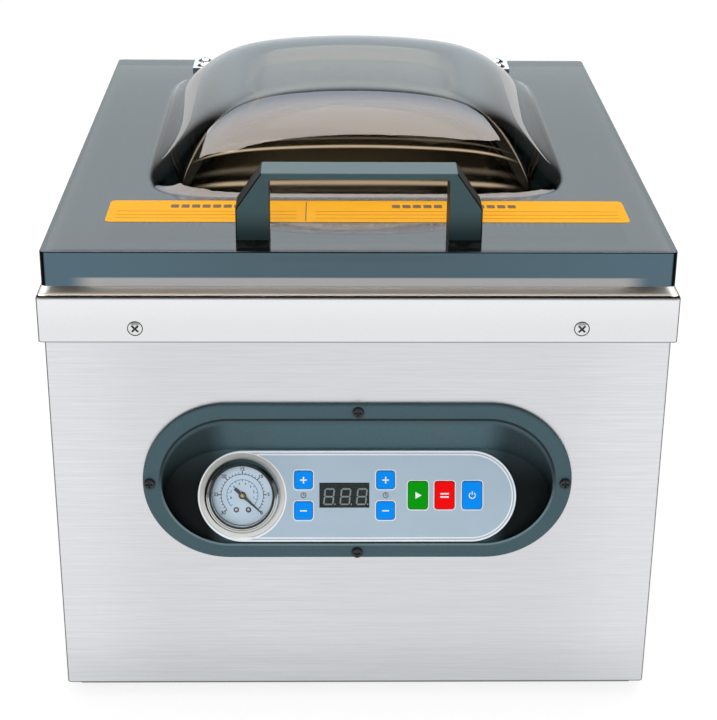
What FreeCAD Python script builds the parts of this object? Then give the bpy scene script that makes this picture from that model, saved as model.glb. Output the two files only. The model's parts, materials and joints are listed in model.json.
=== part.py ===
"""Table-top chamber vacuum sealer with a clear domed lid, as separate pieces.

Millimetres. +Z is up, the front faces -Y and the origin lies on the table under
the middle of the machine's outline.
"""
import FreeCAD, Part
import math
import os

from FreeCAD import Matrix, Placement, Rotation, Vector

# Sheet-metal body
BODY_W = 331.4           # width over the deck's skirt
CASE_H = 234.5           # casing, from the base plate to the deck's underside
CASE_T = 1.2             # casing and rear panel sheet
CASE_BEND = 2.5          # outer radius of the casing's folded corners
CASE_LIP = 12.0          # width of the lips folded in round the casing's openings
SIDE_GAP = 1.35          # casing side to the inside of the skirt
FRONT_GAP = 0.5          # casing front, and rear panel, to the inside of the skirt
BASE_T = 1.5             # base plate sheet
BASE_INSET = 6.25        # base plate's edge, in from the casing's outside
DECK_T = 1.5             # deck sheet
SKIRT_H = 26.0           # deck's skirt, over the top sheet
SKIRT_BEND = 2.5         # outer radius of the deck's folded edges
FOOT_H = 8.0
FOOT_D = 22.0
FOOT_INSET = 32.0        # foot's centre, in from the casing's corner
FOOT_TAPER = 2.0         # how much smaller a foot's radius is at the table
FOOT_WELL_FIT = 1.0      # radial room round the screw's head in a foot
FOOT_WELL_COVER = 2.0    # how far the screw's head stays up inside the foot
BASE_SCREW_SHIFT = 2.0   # base screws, further in than the middle of the casing's lips

# Fasteners
SCREW_FIT = 0.1          # radial play of a screw in its hole
OVERRUN = 1.0            # how far a cutter runs past the face that it opens
DECK_HEAD_D = 7.7        # raised countersunk screws of the skirt
DECK_SHANK_D = 4.0
DECK_HEAD_CROWN = 0.6
DECK_SCREW_TURN = 45.0   # turn of the cross in these screws, degrees
DECK_SCREW_X = 115.3
DECK_SCREW_DROP = 18.2   # screw's centre below the deck's top
DECK_REAR_SCREW_X = 45.0
PAN_HEAD_D = 6.0         # pan-head screws of the bezel, rear panel, base and feet
PAN_HEAD_H = 2.0
PAN_SHANK_D = 3.0
PAN_LENGTH = 8.0
RIVET_HEAD_D = 8.0       # dome-head screws of the hinges and the handle
RIVET_HEAD_H = 2.2
RIVET_SHANK_D = 4.0
NUT_AF = 7.0
NUT_H = 3.2
HIDDEN_SCREW_LENGTH = 10.0

# Lid
LID_W = 324.8
LID_D = 382.7
LID_T = 19.0
LID_SETBACK = 1.5        # lid's front edge, behind the skirt's front
LID_GAP = 4.5            # lid's underside above the deck
LID_CORNER = 2.5
LID_EDGE = 0.6           # chamfer along the plate's edges
LID_OPEN = 65.0          # opening angle, degrees
DOME_HALF_W = 119.0      # half outline of the blown dome, flare included
DOME_HALF_D = 128.0
DOME_Y = 213.5           # dome's centre, behind the lid's front edge
DOME_H = 43.4
DOME_SQUARENESS = 8.0    # superellipse exponent of the outline
DOME_SHOULDER = 5.8      # higher is a flatter top with a steeper side
DOME_FLARE = 1.46        # above 1 the foot of the side sweeps out
DOME_CROWN = 0.36        # how far the top falls towards the dome's left and right
DOME_WALL = 9.0
DOME_MARGIN = 3.0        # flat border of the blown patch
DOME_STEPS = 72          # interpolation intervals over the patch

# Handle
HANDLE_W = 127.0
HANDLE_D = 20.0
HANDLE_H = 36.0
HANDLE_LEG = 17.3
HANDLE_BAR = 3.2
HANDLE_SLOPE_W = 13.3    # sloped outer corners
HANDLE_SLOPE_H = 19.3
HANDLE_EDGE = 0.6        # chamfer round the outside
HANDLE_THROAT = 2.0      # radius at the finger gap's upper corners
HANDLE_Y = 16.9          # handle's front, behind the lid's front edge

# Hinges
HINGE_W = 27.4
HINGE_X = 94.7           # centre of each hinge
HINGE_T = 2.5
HINGE_KNUCKLE_R = 5.0
HINGE_PIN_D = 5.0
HINGE_PIN_FIT = 0.04     # radial play of the pin
HINGE_CLEAR = 0.6        # lid's rear edge to the knuckle
HINGE_RISE = 2.0         # pin's centre above the lid's underside
HINGE_STRAP = 32.6       # length of the leaf on top of the lid
HINGE_SCREW_1 = 12.4     # screw centres, in front of the lid's rear edge
HINGE_SCREW_2 = 25.5
HINGE_SCREW_DX = 6.6     # screw row, outwards of the hinge's centre
HINGE_SPLIT = 0.4        # gap between knuckles
HINGE_BASE_DROP = 24.0   # base leaf, below the deck's top
HINGE_BASE_SCREW_DX = 8.0

# Chamber
TUB_W = 256.0            # inside
TUB_FRONT = 32.5         # inside front wall, behind the lid's front edge
TUB_REAR = 52.2          # inside rear wall, in front of the lid's rear edge
TUB_DEPTH = 58.0         # deck's top to the inside floor
TUB_T = 1.5
TUB_CORNER = 22.0
TUB_FLOOR_R = 8.0
TUB_FLANGE = 8.0
GASKET_W = 9.0
GASKET_OUT_X = 151.0     # half width over the gasket
GASKET_FRONT = 9.0       # gasket's outside, behind the lid's front edge
GASKET_REAR = 36.2       # gasket's outside, in front of the lid's rear edge
GASKET_CORNER = 20.0
GASKET_ROUND = 2.2
LID_REST = 0.3           # lid's underside above the relaxed gasket

# Seal bar
BAR_L = 240.0
BAR_W = 16.0
BAR_H = 24.0
BAR_Y = 61.1             # bar's centre, behind the lid's front edge
BAR_TRAVEL = 6.0
BAR_STOP = 0.3           # bar to the cylinders at rest, and to the pad when lifted
WIRE_W = 4.0
WIRE_T = 0.5
TAPE_T = 0.4
TAPE_SKIRT = 7.0
POST_D = 10.0
POST_L = 40.0
POST_X = 80.0
POST_FIT = 0.05
CYLINDER_D = 26.0
CYLINDER_NECK_D = 18.0
CYLINDER_BELOW = 44.0
PAD_W = 12.0
PAD_H = 6.5
PAD_CHANNEL_H = 5.0
PAD_CHANNEL_T = 1.5

# Control panel
PANEL_Z = 128.35         # bezel's centre above the casing's bottom
BEZEL_W = 230.0
BEZEL_H = 92.0
BEZEL_T = 3.0            # flange proud of the casing
OPENING_W = 210.0
OPENING_H = 74.1
BEZEL_WALL = 1.2
BEZEL_FIT = 0.3          # pocket to the casing's cut-out
BEZEL_SCREW_IN = 3.7     # screw centres, in from the bezel's outline
FLOOR_W = 208.8          # width of the pocket's sloping floor
PLATE_W = 173.0
PLATE_H = 49.9
PLATE_T = 2.0
PLATE_TILT = 20.0
PLATE_SUNK = 1.0         # plate's lower edge, behind the flange's face
PLATE_RISE = 0.5         # plate's lower edge above the opening's
PLATE_MARGIN = 0.5       # floor showing round the plate
PLATE_LEDGE = 4.0        # seat of the plate on the floor

# Keys, in the plate's own plane: across from the middle, up from its middle line
SMALL_KEY = 9.8
LARGE_KEY_W = 10.6
LARGE_KEY_H = 15.2
KEY_ROUND = 1.4
KEY_FIT = 0.25
KEY_RISE = 0.8
KEY_RIM = 1.2
KEY_RIM_T = 1.0
KEY_REST = 0.3           # key's rim behind the plate
KEY_TRAVEL = 0.6
KEY_SWITCH_GAP = 0.2     # left over a switch when its key is pressed home
SWITCH_W = 6.0
SWITCH_H = 3.0
SWITCH_TIP_D = 3.4
SMALL_KEY_UP = 8.4
KEY_ROW_UP = 0.6
VAC_KEY_X = -29.2
SEAL_TIME_KEY_X = 15.4
START_KEY_X = 33.0
SEAL_KEY_X = 47.5
POWER_KEY_X = 62.5
DISPLAY_X = -7.0
DISPLAY_W = 27.2
DISPLAY_H = 13.8
DISPLAY_FIT = 0.15
WINDOW_T = 0.8
WINDOW_SUNK = 0.2
BOARD_GAP = 6.0          # plate's back to the board
BOARD_T = 1.6
BOARD_X1 = 72.0
BOARD_H = 36.0
SPACER_D = 5.0
SPACER_IN = 3.5          # spacer's centre, in from the board's edges
SPACER_CLEAR = 0.5       # spacer to the rim of the key beside it

# Vacuum gauge
GAUGE_X = -62.4
GAUGE_UP = 0.6
GAUGE_D = 40.6
GAUGE_BARREL_D = 36.0
GAUGE_BARREL_L = 24.0
GAUGE_DIAL_D = 33.0
GAUGE_FLANGE_T = 1.5
GAUGE_WALL = 1.5
GAUGE_RING_H = 4.5
GAUGE_LIP = 1.0
GAUGE_GLASS_T = 1.2
GAUGE_DIAL_T = 0.6
GAUGE_FIT = 0.15
GAUGE_STEM_D = 6.0
GAUGE_STEM_L = 10.0
NEEDLE_R = 14.0
NEEDLE_TAIL = 5.6
NEEDLE_T = 0.5
NEEDLE_HUB_D = 4.0
NEEDLE_PIVOT_D = 1.6
NEEDLE_FIT = 0.05
NEEDLE_REST = -43.0      # degrees from the right-hand horizontal
NEEDLE_LIFT = 0.8        # needle above the dial

# Works inside the casing, from the skirt's front and the casing's bottom
PUMP_X = -30.0
PUMP_Y = 230.0
MOTOR_D = 90.0
MOTOR_L = 120.0
MOTOR_FOOT_T = 3.0
MOTOR_FOOT_GAP = 5.0
MOTOR_BELL_D = 60.0
MOTOR_BELL_T = 6.0
SHAFT_D = 8.0
SHAFT_FIT = 0.05
FAN_D = 80.0
FAN_T = 16.0
FAN_HUB_D = 22.0
FAN_BLADES = 8
FAN_BLADE_T = 2.0
FAN_GAP = 4.0
MOUNT_D = 18.0
MOUNT_H = 15.0
MOUNT_INSET = 14.0
HEAD_L = 56.0
HEAD_D = 84.0
HEAD_H = 96.0
HEAD_FINS = 7
FIN_DEPTH = 5.0
FIN_GAP = 5.0
BARB_D = 7.0
BARB_L = 12.0
HOSE_WALL = 2.0
HOSE_FIT = 0.1
VALVE_INSET = 16.0       # valves, in from the chamber's right wall
VALVE_Y = 312.0
VALVE_PITCH = 44.0
VALVE_W = 26.0
VALVE_D = 30.0
VALVE_BODY_H = 24.0
VALVE_COIL_D = 22.0
VALVE_COIL_H = 26.0
VALVE_PORT_Z = 12.0
PORT_L = 15.0
PORT_WALL = 1.5
GAUGE_PORT_Y = 92.0
CORE_CLEAR = 15.5        # core to the inside of the casing's left side
CORE_Y = 130.0
CORE_W = 66.0
CORE_D = 34.0
CORE_H = 56.0
CORE_LEG = 11.0
COIL_FIT = 0.3
COIL_OUT = 10.0
INLET_X = -105.0
INLET_Z = 42.0
INLET_W = 48.0
INLET_H = 28.0
INLET_FLANGE_T = 2.5
INLET_BODY_W = 28.0
INLET_BODY_H = 21.0
INLET_BODY_L = 26.0
INLET_WALL = 2.5
INLET_PIN_W = 4.0
INLET_PIN_T = 2.0
INLET_PIN_PITCH = 7.0
INLET_PIN_RISE = 2.0     # earth pin above the middle, the others as far below it
VENT_SLOT_W = 40.0
VENT_SLOT_H = 3.2
VENT_PITCH = 8.0
VENT_ROWS = 9
VENT_COLUMNS = 3
VENT_COLUMN_PITCH = 62.0
VENT_Z = 120.0

# Levels and planes worked out from the sizes above
KNUCKLE_REACH = HINGE_CLEAR + 2 * HINGE_KNUCKLE_R - HINGE_T
DECK_D = LID_SETBACK + LID_D + KNUCKLE_REACH
FRONT_REACH = BEZEL_T - DECK_T - FRONT_GAP + PAN_HEAD_H
REAR_REACH = HINGE_T + RIVET_HEAD_H
SKIRT_Y0 = FRONT_REACH - (FRONT_REACH + DECK_D + REAR_REACH) / 2
SKIRT_Y1 = SKIRT_Y0 + DECK_D
SKIRT_X = BODY_W / 2
CASE_X = SKIRT_X - DECK_T - SIDE_GAP
CASE_Y0 = SKIRT_Y0 + DECK_T + FRONT_GAP
PANEL_Y1 = SKIRT_Y1 - DECK_T - FRONT_GAP
CASE_Y1 = PANEL_Y1 - CASE_T
CASE_Z0 = FOOT_H + BASE_T
DECK_Z0 = CASE_Z0 + CASE_H
DECK_Z1 = DECK_Z0 + DECK_T
LID_Z0 = DECK_Z1 + LID_GAP
LID_Z1 = LID_Z0 + LID_T
LID_Y0 = SKIRT_Y0 + LID_SETBACK
LID_Y1 = LID_Y0 + LID_D
HINGE_Y = LID_Y1 + HINGE_CLEAR + HINGE_KNUCKLE_R
HINGE_Z = LID_Z0 + HINGE_RISE
TUB_Y0 = LID_Y0 + TUB_FRONT
TUB_Y1 = LID_Y1 - TUB_REAR
TUB_Z0 = DECK_Z1 - TUB_DEPTH
BAR_MID_Y = LID_Y0 + BAR_Y
PAD_Z0 = LID_Z0 - PAD_CHANNEL_T - PAD_H
BAR_TOP = PAD_Z0 - BAR_STOP - BAR_TRAVEL
BAR_Z1 = BAR_TOP - TAPE_T
BAR_Z0 = BAR_Z1 - BAR_H
BEZEL_Y0 = CASE_Y0 - BEZEL_T
BEZEL_Z = CASE_Z0 + PANEL_Z
BOARD_X0 = VAC_KEY_X - SMALL_KEY / 2 - KEY_RIM - SPACER_CLEAR - SPACER_D / 2 - SPACER_IN
MOTOR_Z = CASE_Z0 + MOUNT_H + MOTOR_FOOT_T + MOTOR_FOOT_GAP + MOTOR_D / 2
MOTOR_X0 = PUMP_X - MOTOR_L / 2
MOTOR_X1 = PUMP_X + MOTOR_L / 2
MOTOR_Y = SKIRT_Y0 + PUMP_Y
VALVE_X = TUB_W / 2 - VALVE_INSET
CORE_X = -CASE_X + CASE_T + CORE_CLEAR + CORE_W / 2

UP = Vector(0, 0, 1)
FORWARD = Vector(0, -1, 0)
BACK = Vector(0, 1, 0)
RIGHT = Vector(1, 0, 0)
LEFT = Vector(-1, 0, 0)
DOWN = Vector(0, 0, -1)


def box(x0, x1, y0, y1, z0, z1):
    """Block between two corners."""
    return Part.makeBox(x1 - x0, y1 - y0, z1 - z0, Vector(x0, y0, z0))


def rod(base, axis, radius, length):
    """Solid cylinder from a base point along an axis."""
    return Part.makeCylinder(radius, length, base, axis)


def pipe(base, axis, outer, inner, length):
    """Hollow cylinder from a base point along an axis."""
    return rod(base, axis, outer, length).cut(rod(base, axis, inner, length))


def rounded_outline(x0, x1, y0, y1, radius, z):
    """Closed wire of a rectangle with round corners at height z."""
    spread = radius * (1 - math.sqrt(0.5))
    corners = ((x1, y0, -1, 1), (x1, y1, -1, -1), (x0, y1, 1, -1), (x0, y0, 1, 1))
    arcs = []
    for index, (x, y, in_x, in_y) in enumerate(corners):
        along_x = Vector(x + in_x * radius, y, z)
        along_y = Vector(x, y + in_y * radius, z)
        middle = Vector(x + in_x * spread, y + in_y * spread, z)
        ends = (along_x, along_y) if index % 2 == 0 else (along_y, along_x)
        arcs.append(Part.Arc(ends[0], middle, ends[1]).toShape())
    edges = []
    for index, arc in enumerate(arcs):
        following = arcs[(index + 1) % len(arcs)]
        edges.append(arc)
        edges.append(Part.makeLine(arc.lastVertex().Point, following.firstVertex().Point))
    return Part.Wire(edges)


def rounded_block(x0, x1, y0, y1, z0, z1, radius):
    """Upright block with round vertical corners."""
    face = Part.Face(rounded_outline(x0, x1, y0, y1, radius, z0))
    return face.extrude(Vector(0, 0, z1 - z0))


def stadium(width, height):
    """Closed wire of a slot shape about the origin, with half-round ends in quarters."""
    radius = height / 2
    straight = width / 2 - radius
    lean = radius * math.sqrt(0.5)
    edges = [Part.makeLine(Vector(-straight, -radius, 0), Vector(straight, -radius, 0))]
    for side in (1, -1):
        low = Vector(side * straight, -side * radius, 0)
        tip = Vector(side * (straight + radius), 0, 0)
        high = Vector(side * straight, side * radius, 0)
        first = Vector(side * (straight + lean), -side * lean, 0)
        second = Vector(side * (straight + lean), side * lean, 0)
        edges.append(Part.Arc(low, first, tip).toShape())
        edges.append(Part.Arc(tip, second, high).toShape())
        if side > 0:
            edges.append(Part.makeLine(high, Vector(-straight, radius, 0)))
    return Part.Wire(edges)


def turned(shape, base, axis):
    """Copy of a shape modelled along +Z, moved to a base point and turned to an axis."""
    copy = shape.copy()
    copy.Placement = Placement(base, Rotation(UP, axis))
    return copy


def cross_recess(radius, top, depth):
    """Cutter for a cross slot in a screw's head."""
    arm = radius * 0.62
    half = radius * 0.14
    first = box(-arm, arm, -half, half, top - depth, top + OVERRUN)
    return first.fuse(box(-half, half, -arm, arm, top - depth, top + OVERRUN))


def pan_screw(length):
    """Pan-head screw standing on its head's seat, with its shank downwards."""
    head = rod(Vector(0, 0, 0), UP, PAN_HEAD_D / 2, PAN_HEAD_H)
    rim = [edge for edge in head.Edges if edge.BoundBox.ZMin > PAN_HEAD_H / 2 and len(edge.Vertexes) == 1]
    head = head.makeFillet(min(PAN_HEAD_H, PAN_HEAD_D) * 0.45, rim)
    shank = rod(Vector(0, 0, -length), UP, PAN_SHANK_D / 2, length)
    return head.fuse(shank).cut(cross_recess(PAN_HEAD_D / 2, PAN_HEAD_H, PAN_HEAD_H * 0.5)).removeSplitter()


def dome_screw(length):
    """Dome-head screw standing on its head's seat, with its shank downwards."""
    half = RIVET_HEAD_D / 2
    radius = (half * half + RIVET_HEAD_H * RIVET_HEAD_H) / (2 * RIVET_HEAD_H)
    ball = Part.makeSphere(radius, Vector(0, 0, RIVET_HEAD_H - radius))
    head = ball.common(box(-half, half, -half, half, 0, RIVET_HEAD_H))
    shank = rod(Vector(0, 0, -length), UP, RIVET_SHANK_D / 2, length)
    return head.fuse(shank).cut(cross_recess(half, RIVET_HEAD_H, RIVET_HEAD_H * 0.5)).removeSplitter()


def deck_screw(length):
    """Raised countersunk screw, its rim level with z = 0 and its shank downwards."""
    half = DECK_HEAD_D / 2
    thin = DECK_SHANK_D / 2
    radius = (half * half + DECK_HEAD_CROWN * DECK_HEAD_CROWN) / (2 * DECK_HEAD_CROWN)
    ball = Part.makeSphere(radius, Vector(0, 0, DECK_HEAD_CROWN - radius))
    crown = ball.common(rod(Vector(0, 0, 0), UP, half + OVERRUN, DECK_HEAD_CROWN))
    cone = Part.makeCone(thin, half, half - thin, Vector(0, 0, thin - half), UP)
    shank = rod(Vector(0, 0, -length), UP, thin, length)
    screw = crown.fuse([cone, shank])
    recess = cross_recess(half, DECK_HEAD_CROWN, DECK_HEAD_CROWN + 0.8)
    recess.rotate(Vector(0, 0, 0), UP, DECK_SCREW_TURN)
    return screw.cut(recess).removeSplitter()


def deck_screw_hole():
    """Cutter that gives a raised countersunk screw its play."""
    half = DECK_HEAD_D / 2 + SCREW_FIT
    thin = DECK_SHANK_D / 2 + SCREW_FIT
    cone = Part.makeCone(thin, half, half - thin, Vector(0, 0, thin - half), UP)
    shaft = rod(Vector(0, 0, -HIDDEN_SCREW_LENGTH - OVERRUN), UP, thin, HIDDEN_SCREW_LENGTH + OVERRUN)
    return cone.fuse([shaft, rod(Vector(0, 0, 0), UP, half, OVERRUN)])


def pan_hole(base, axis):
    """Cutter for a pan-head screw's shank at a seat, running both ways."""
    reach = PAN_LENGTH + 2 * OVERRUN
    start = base - Vector(axis) * reach
    return rod(start, axis, PAN_SHANK_D / 2 + SCREW_FIT, 2 * reach)


def on_panel(shape):
    """Move a shape from the plate's own plane (x across, y up, z out) into place."""
    moved = shape.copy()
    moved.Placement = Placement(panel_origin(), Rotation(RIGHT, 90 - PLATE_TILT)).multiply(shape.Placement)
    return moved


def panel_origin():
    """Middle of the plate's seat on the sloping floor."""
    tilt = math.radians(PLATE_TILT)
    along = PLATE_H / 2
    low_y = BEZEL_Y0 + PLATE_SUNK + PLATE_T * math.cos(tilt)
    low_z = BEZEL_Z - OPENING_H / 2 + PLATE_RISE - PLATE_T * math.sin(tilt)
    return Vector(0, low_y + along * math.sin(tilt), low_z + along * math.cos(tilt))


def panel_point(x, up, out):
    """Point of the plate's own plane in the machine's frame."""
    return Placement(panel_origin(), Rotation(RIGHT, 90 - PLATE_TILT)).multVec(Vector(x, up, out))


def panel_inwards():
    """Direction straight into the panel."""
    return panel_point(0, 0, -1) - panel_point(0, 0, 0)


def slope_outline(grow, out):
    """Outline of the pocket's floor: straight sides and elliptic ends, grown by a wall."""
    height = PLATE_H + 2 * PLATE_MARGIN + 2 * grow
    straight = OPENING_W / 2 - OPENING_H / 2
    reach = FLOOR_W / 2 - straight + grow
    stretch = reach / (height / 2)
    wire = stadium(2 * straight / stretch + height, height)
    matrix = Matrix()
    matrix.scale(stretch, 1, 1)
    wire = wire.transformGeometry(matrix)
    wire.Placement = Placement(Vector(0, 0, out), Rotation())
    return on_panel(wire)


def upright_stadium(width, height, y):
    """Slot outline in an upright plane facing forwards, about the bezel's centre."""
    wire = stadium(width, height)
    wire.Placement = Placement(Vector(0, y, BEZEL_Z), Rotation(RIGHT, 90))
    return wire


def bezel_screw_points():
    """Centres of the bezel's screws on its face."""
    reach_x = BEZEL_W / 2 - BEZEL_SCREW_IN
    reach_z = BEZEL_H / 2 - BEZEL_SCREW_IN
    spots = ((0, reach_z), (0, -reach_z), (-reach_x, 0), (reach_x, 0))
    return [Vector(x, BEZEL_Y0, BEZEL_Z + z) for x, z in spots]


def skirt_screw_points():
    """Seats and outward directions of the screws round the deck's skirt."""
    z = DECK_Z1 - DECK_SCREW_DROP
    points = []
    for side in (-1, 1):
        points.append((Vector(side * DECK_SCREW_X, SKIRT_Y0, z), FORWARD))
        points.append((Vector(side * DECK_REAR_SCREW_X, SKIRT_Y1, z), BACK))
        for share in (0.25, 0.75):
            outwards = RIGHT if side > 0 else LEFT
            points.append((Vector(side * SKIRT_X, SKIRT_Y0 + share * DECK_D, z), outwards))
    return points


def rear_screw_points():
    """Seats of the rear panel's screws, in the casing's rear lips."""
    x = CASE_X - CASE_LIP / 2
    low = CASE_Z0 + CASE_LIP / 2
    high = DECK_Z1 - SKIRT_H - PAN_HEAD_D
    return [Vector(side * x, PANEL_Y1, z) for side in (-1, 1) for z in (low, (low + high) / 2, high)]


def base_screw_points():
    """Seats of the base plate's screws, under the casing's bottom lips."""
    x = CASE_X - CASE_LIP / 2 - BASE_SCREW_SHIFT
    y0 = CASE_Y0 + CASE_LIP / 2 + BASE_SCREW_SHIFT
    y1 = CASE_Y1 - CASE_LIP / 2 - BASE_SCREW_SHIFT
    points = [Vector(side * x, y0 + share * (y1 - y0), FOOT_H) for side in (-1, 1) for share in (0.3, 0.7)]
    points += [Vector(side * CASE_X / 3, y, FOOT_H) for side in (-1, 1) for y in (y0, y1)]
    return points


def foot_points():
    """Centres of the feet on the base plate's underside."""
    x = CASE_X - FOOT_INSET
    rows = (CASE_Y0 + FOOT_INSET, CASE_Y1 - FOOT_INSET)
    return [Vector(side * x, y, FOOT_H) for side in (-1, 1) for y in rows]


def mount_points():
    """Centres of the pump's rubber mounts on the base plate."""
    half_x = MOTOR_L / 2 - MOUNT_INSET
    half_y = MOTOR_D / 2 - MOUNT_INSET
    return [Vector(PUMP_X + i * half_x, MOTOR_Y + j * half_y, CASE_Z0) for i in (-1, 1) for j in (-1, 1)]


def hinge_screw_points():
    """Seats of the screws in the lid's hinge leaves."""
    z = LID_Z1 + HINGE_T
    x = HINGE_X + HINGE_SCREW_DX
    return [Vector(side * x, LID_Y1 - back, z) for side in (-1, 1) for back in (HINGE_SCREW_1, HINGE_SCREW_2)]


def hinge_base_screw_points():
    """Seats of the screws in the hinges' base leaves."""
    z = DECK_Z1 - DECK_SCREW_DROP
    y = SKIRT_Y1 + HINGE_T
    apart = (-HINGE_BASE_SCREW_DX, HINGE_BASE_SCREW_DX)
    return [Vector(side * HINGE_X + dx, y, z) for side in (-1, 1) for dx in apart]


def handle_screw_points():
    """Seats of the handle's screws under the lid."""
    x = HANDLE_W / 2 - HANDLE_LEG / 2
    y = LID_Y0 + HANDLE_Y + HANDLE_D / 2
    return [Vector(side * x, y, LID_Z0) for side in (-1, 1)]


def suction_port():
    """Top of the pump line's nipple, at the underside of the chamber's floor."""
    return Vector(VALVE_X, SKIRT_Y0 + VALVE_Y, TUB_Z0 - TUB_T)


def gauge_port():
    """Top of the gauge line's nipple, at the underside of the chamber's floor."""
    return Vector(GAUGE_X, SKIRT_Y0 + GAUGE_PORT_Y, TUB_Z0 - TUB_T)


def casing_wrap():
    """Folded casing: front and sides, with lips round its open top, bottom and rear."""
    outer = box(-CASE_X, CASE_X, CASE_Y0, CASE_Y1, CASE_Z0, DECK_Z0)
    inner = box(-CASE_X + CASE_T, CASE_X - CASE_T, CASE_Y0 + CASE_T, CASE_Y1 - CASE_T,
                CASE_Z0 + CASE_T, DECK_Z0 - CASE_T)
    outer = round_top_folds(round_front_corners(outer, CASE_BEND), CASE_T)
    inner = round_front_corners(inner, CASE_BEND - CASE_T)
    mouth_x = CASE_X - CASE_LIP
    mouth = box(-mouth_x, mouth_x, CASE_Y0 + CASE_LIP, CASE_Y1 - CASE_LIP,
                CASE_Z0 - OVERRUN, DECK_Z0 + OVERRUN)
    rear = box(-mouth_x, mouth_x, CASE_Y1 - 2 * CASE_T, CASE_Y1 + OVERRUN,
               CASE_Z0 + CASE_LIP, DECK_Z0 - CASE_LIP)
    cutters = [inner, mouth, rear] + bezel_passage()
    cutters += [pan_hole(point, FORWARD) for point in bezel_screw_points()]
    cutters += [pan_hole(point, BACK) for point in rear_screw_points()]
    cutters += [pan_hole(point, DOWN) for point in base_screw_points()]
    cutters += [turned(deck_screw_hole(), point, axis) for point, axis in skirt_screw_points()]
    return outer.cut(cutters)


def pocket_mouth(wall, y):
    """Upright outline of the pocket's mouth, grown by a wall."""
    return upright_stadium(OPENING_W + 2 * wall, OPENING_H + 2 * wall, y)


def pocket_cup(wall, depth):
    """Pocket from the bezel's face to its sloping floor, grown by a wall and a depth."""
    return Part.makeLoft([pocket_mouth(wall, BEZEL_Y0), slope_outline(wall, -depth)], True, True)


def bezel_passage():
    """Cutters for the casing's window: the pocket's mouth, its floor seen from the front, and its sides."""
    wall = BEZEL_WALL + BEZEL_FIT
    mouth = Part.Face(pocket_mouth(wall, CASE_Y0 - OVERRUN))
    floor = Part.Face(slope_outline(wall, -BEZEL_WALL))
    floor.translate(BACK * (CASE_T + OVERRUN))
    reach = floor.BoundBox.YMax - CASE_Y0 + OVERRUN
    through = BACK * (CASE_T + 2 * OVERRUN)
    return [mouth.extrude(through), floor.extrude(FORWARD * reach), pocket_cup(wall, BEZEL_WALL)]


def round_front_corners(block, radius):
    """Round the two upright edges at a block's front."""
    front = block.BoundBox.YMin
    edges = [edge for edge in block.Edges
             if edge.BoundBox.ZLength > 1 and edge.BoundBox.YMax < front + 1e-3]
    return block.makeFillet(radius, edges)


def round_top_folds(block, radius):
    """Round the folds round a block's top, apart from its rear edge."""
    top = block.BoundBox.ZMax
    rear = block.BoundBox.YMax
    edges = [edge for edge in block.Edges
             if edge.BoundBox.ZMin > top - 1e-3 and edge.BoundBox.YMin < rear - 1e-3]
    return block.makeFillet(radius, edges)


def rear_panel():
    """Flat rear panel with slotted vents and the inlet's cut-out."""
    gap = CASE_T / 2
    panel = box(-CASE_X + gap, CASE_X - gap, CASE_Y1, PANEL_Y1, CASE_Z0 + gap, DECK_Z0 - gap)
    cutters = [pan_hole(point, BACK) for point in rear_screw_points()]
    cutters += [turned(deck_screw_hole(), point, axis) for point, axis in skirt_screw_points()]
    cutters += [pan_hole(point, BACK) for point in hinge_base_screw_points()]
    slot = Part.Face(stadium(VENT_SLOT_W, VENT_SLOT_H)).extrude(Vector(0, 0, CASE_T + 2 * OVERRUN))
    for column in range(VENT_COLUMNS):
        x = (column - (VENT_COLUMNS - 1) / 2) * VENT_COLUMN_PITCH
        for row in range(VENT_ROWS):
            z = CASE_Z0 + VENT_Z + (row - (VENT_ROWS - 1) / 2) * VENT_PITCH
            cut = slot.copy()
            cut.Placement = Placement(Vector(x, PANEL_Y1 + OVERRUN, z), Rotation(RIGHT, 90))
            cutters.append(cut)
    half_w = INLET_BODY_W / 2 + SCREW_FIT
    half_h = INLET_BODY_H / 2 + SCREW_FIT
    inlet_z = CASE_Z0 + INLET_Z
    cutters.append(box(INLET_X - half_w, INLET_X + half_w, CASE_Y1 - OVERRUN, PANEL_Y1 + OVERRUN,
                       inlet_z - half_h, inlet_z + half_h))
    return panel.cut(cutters)


def base_plate():
    """Flat base plate screwed under the casing's bottom lips."""
    edge_x = CASE_X - BASE_INSET
    y0 = CASE_Y0 + BASE_INSET / 4
    y1 = CASE_Y1 - BASE_INSET / 4
    plate = rounded_block(-edge_x, edge_x, y0, y1, FOOT_H, CASE_Z0, CASE_BEND)
    cutters = [pan_hole(point, DOWN) for point in base_screw_points() + foot_points()]
    return plate.cut(cutters)


def rubber_feet():
    """Four tapered rubber feet, each with a well for its screw's head."""
    feet = []
    well_h = PAN_HEAD_H + FOOT_WELL_COVER
    for point in foot_points():
        floor = Vector(point.x, point.y, 0)
        foot = Part.makeCone(FOOT_D / 2 - FOOT_TAPER, FOOT_D / 2, FOOT_H, floor, UP)
        well = rod(floor - UP * OVERRUN, UP, PAN_HEAD_D / 2 + FOOT_WELL_FIT, well_h + OVERRUN)
        shaft = rod(floor, UP, PAN_SHANK_D / 2 + SCREW_FIT, FOOT_H)
        feet.append(foot.cut([well, shaft]))
    return Part.makeCompound(feet)


def foot_screws():
    """Screws that hold the feet, their heads up inside the wells."""
    seat = PAN_HEAD_H + FOOT_WELL_COVER
    seats = [Vector(p.x, p.y, seat) for p in foot_points()]
    return Part.makeCompound([turned(pan_screw(PAN_LENGTH), place, DOWN) for place in seats])


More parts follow.
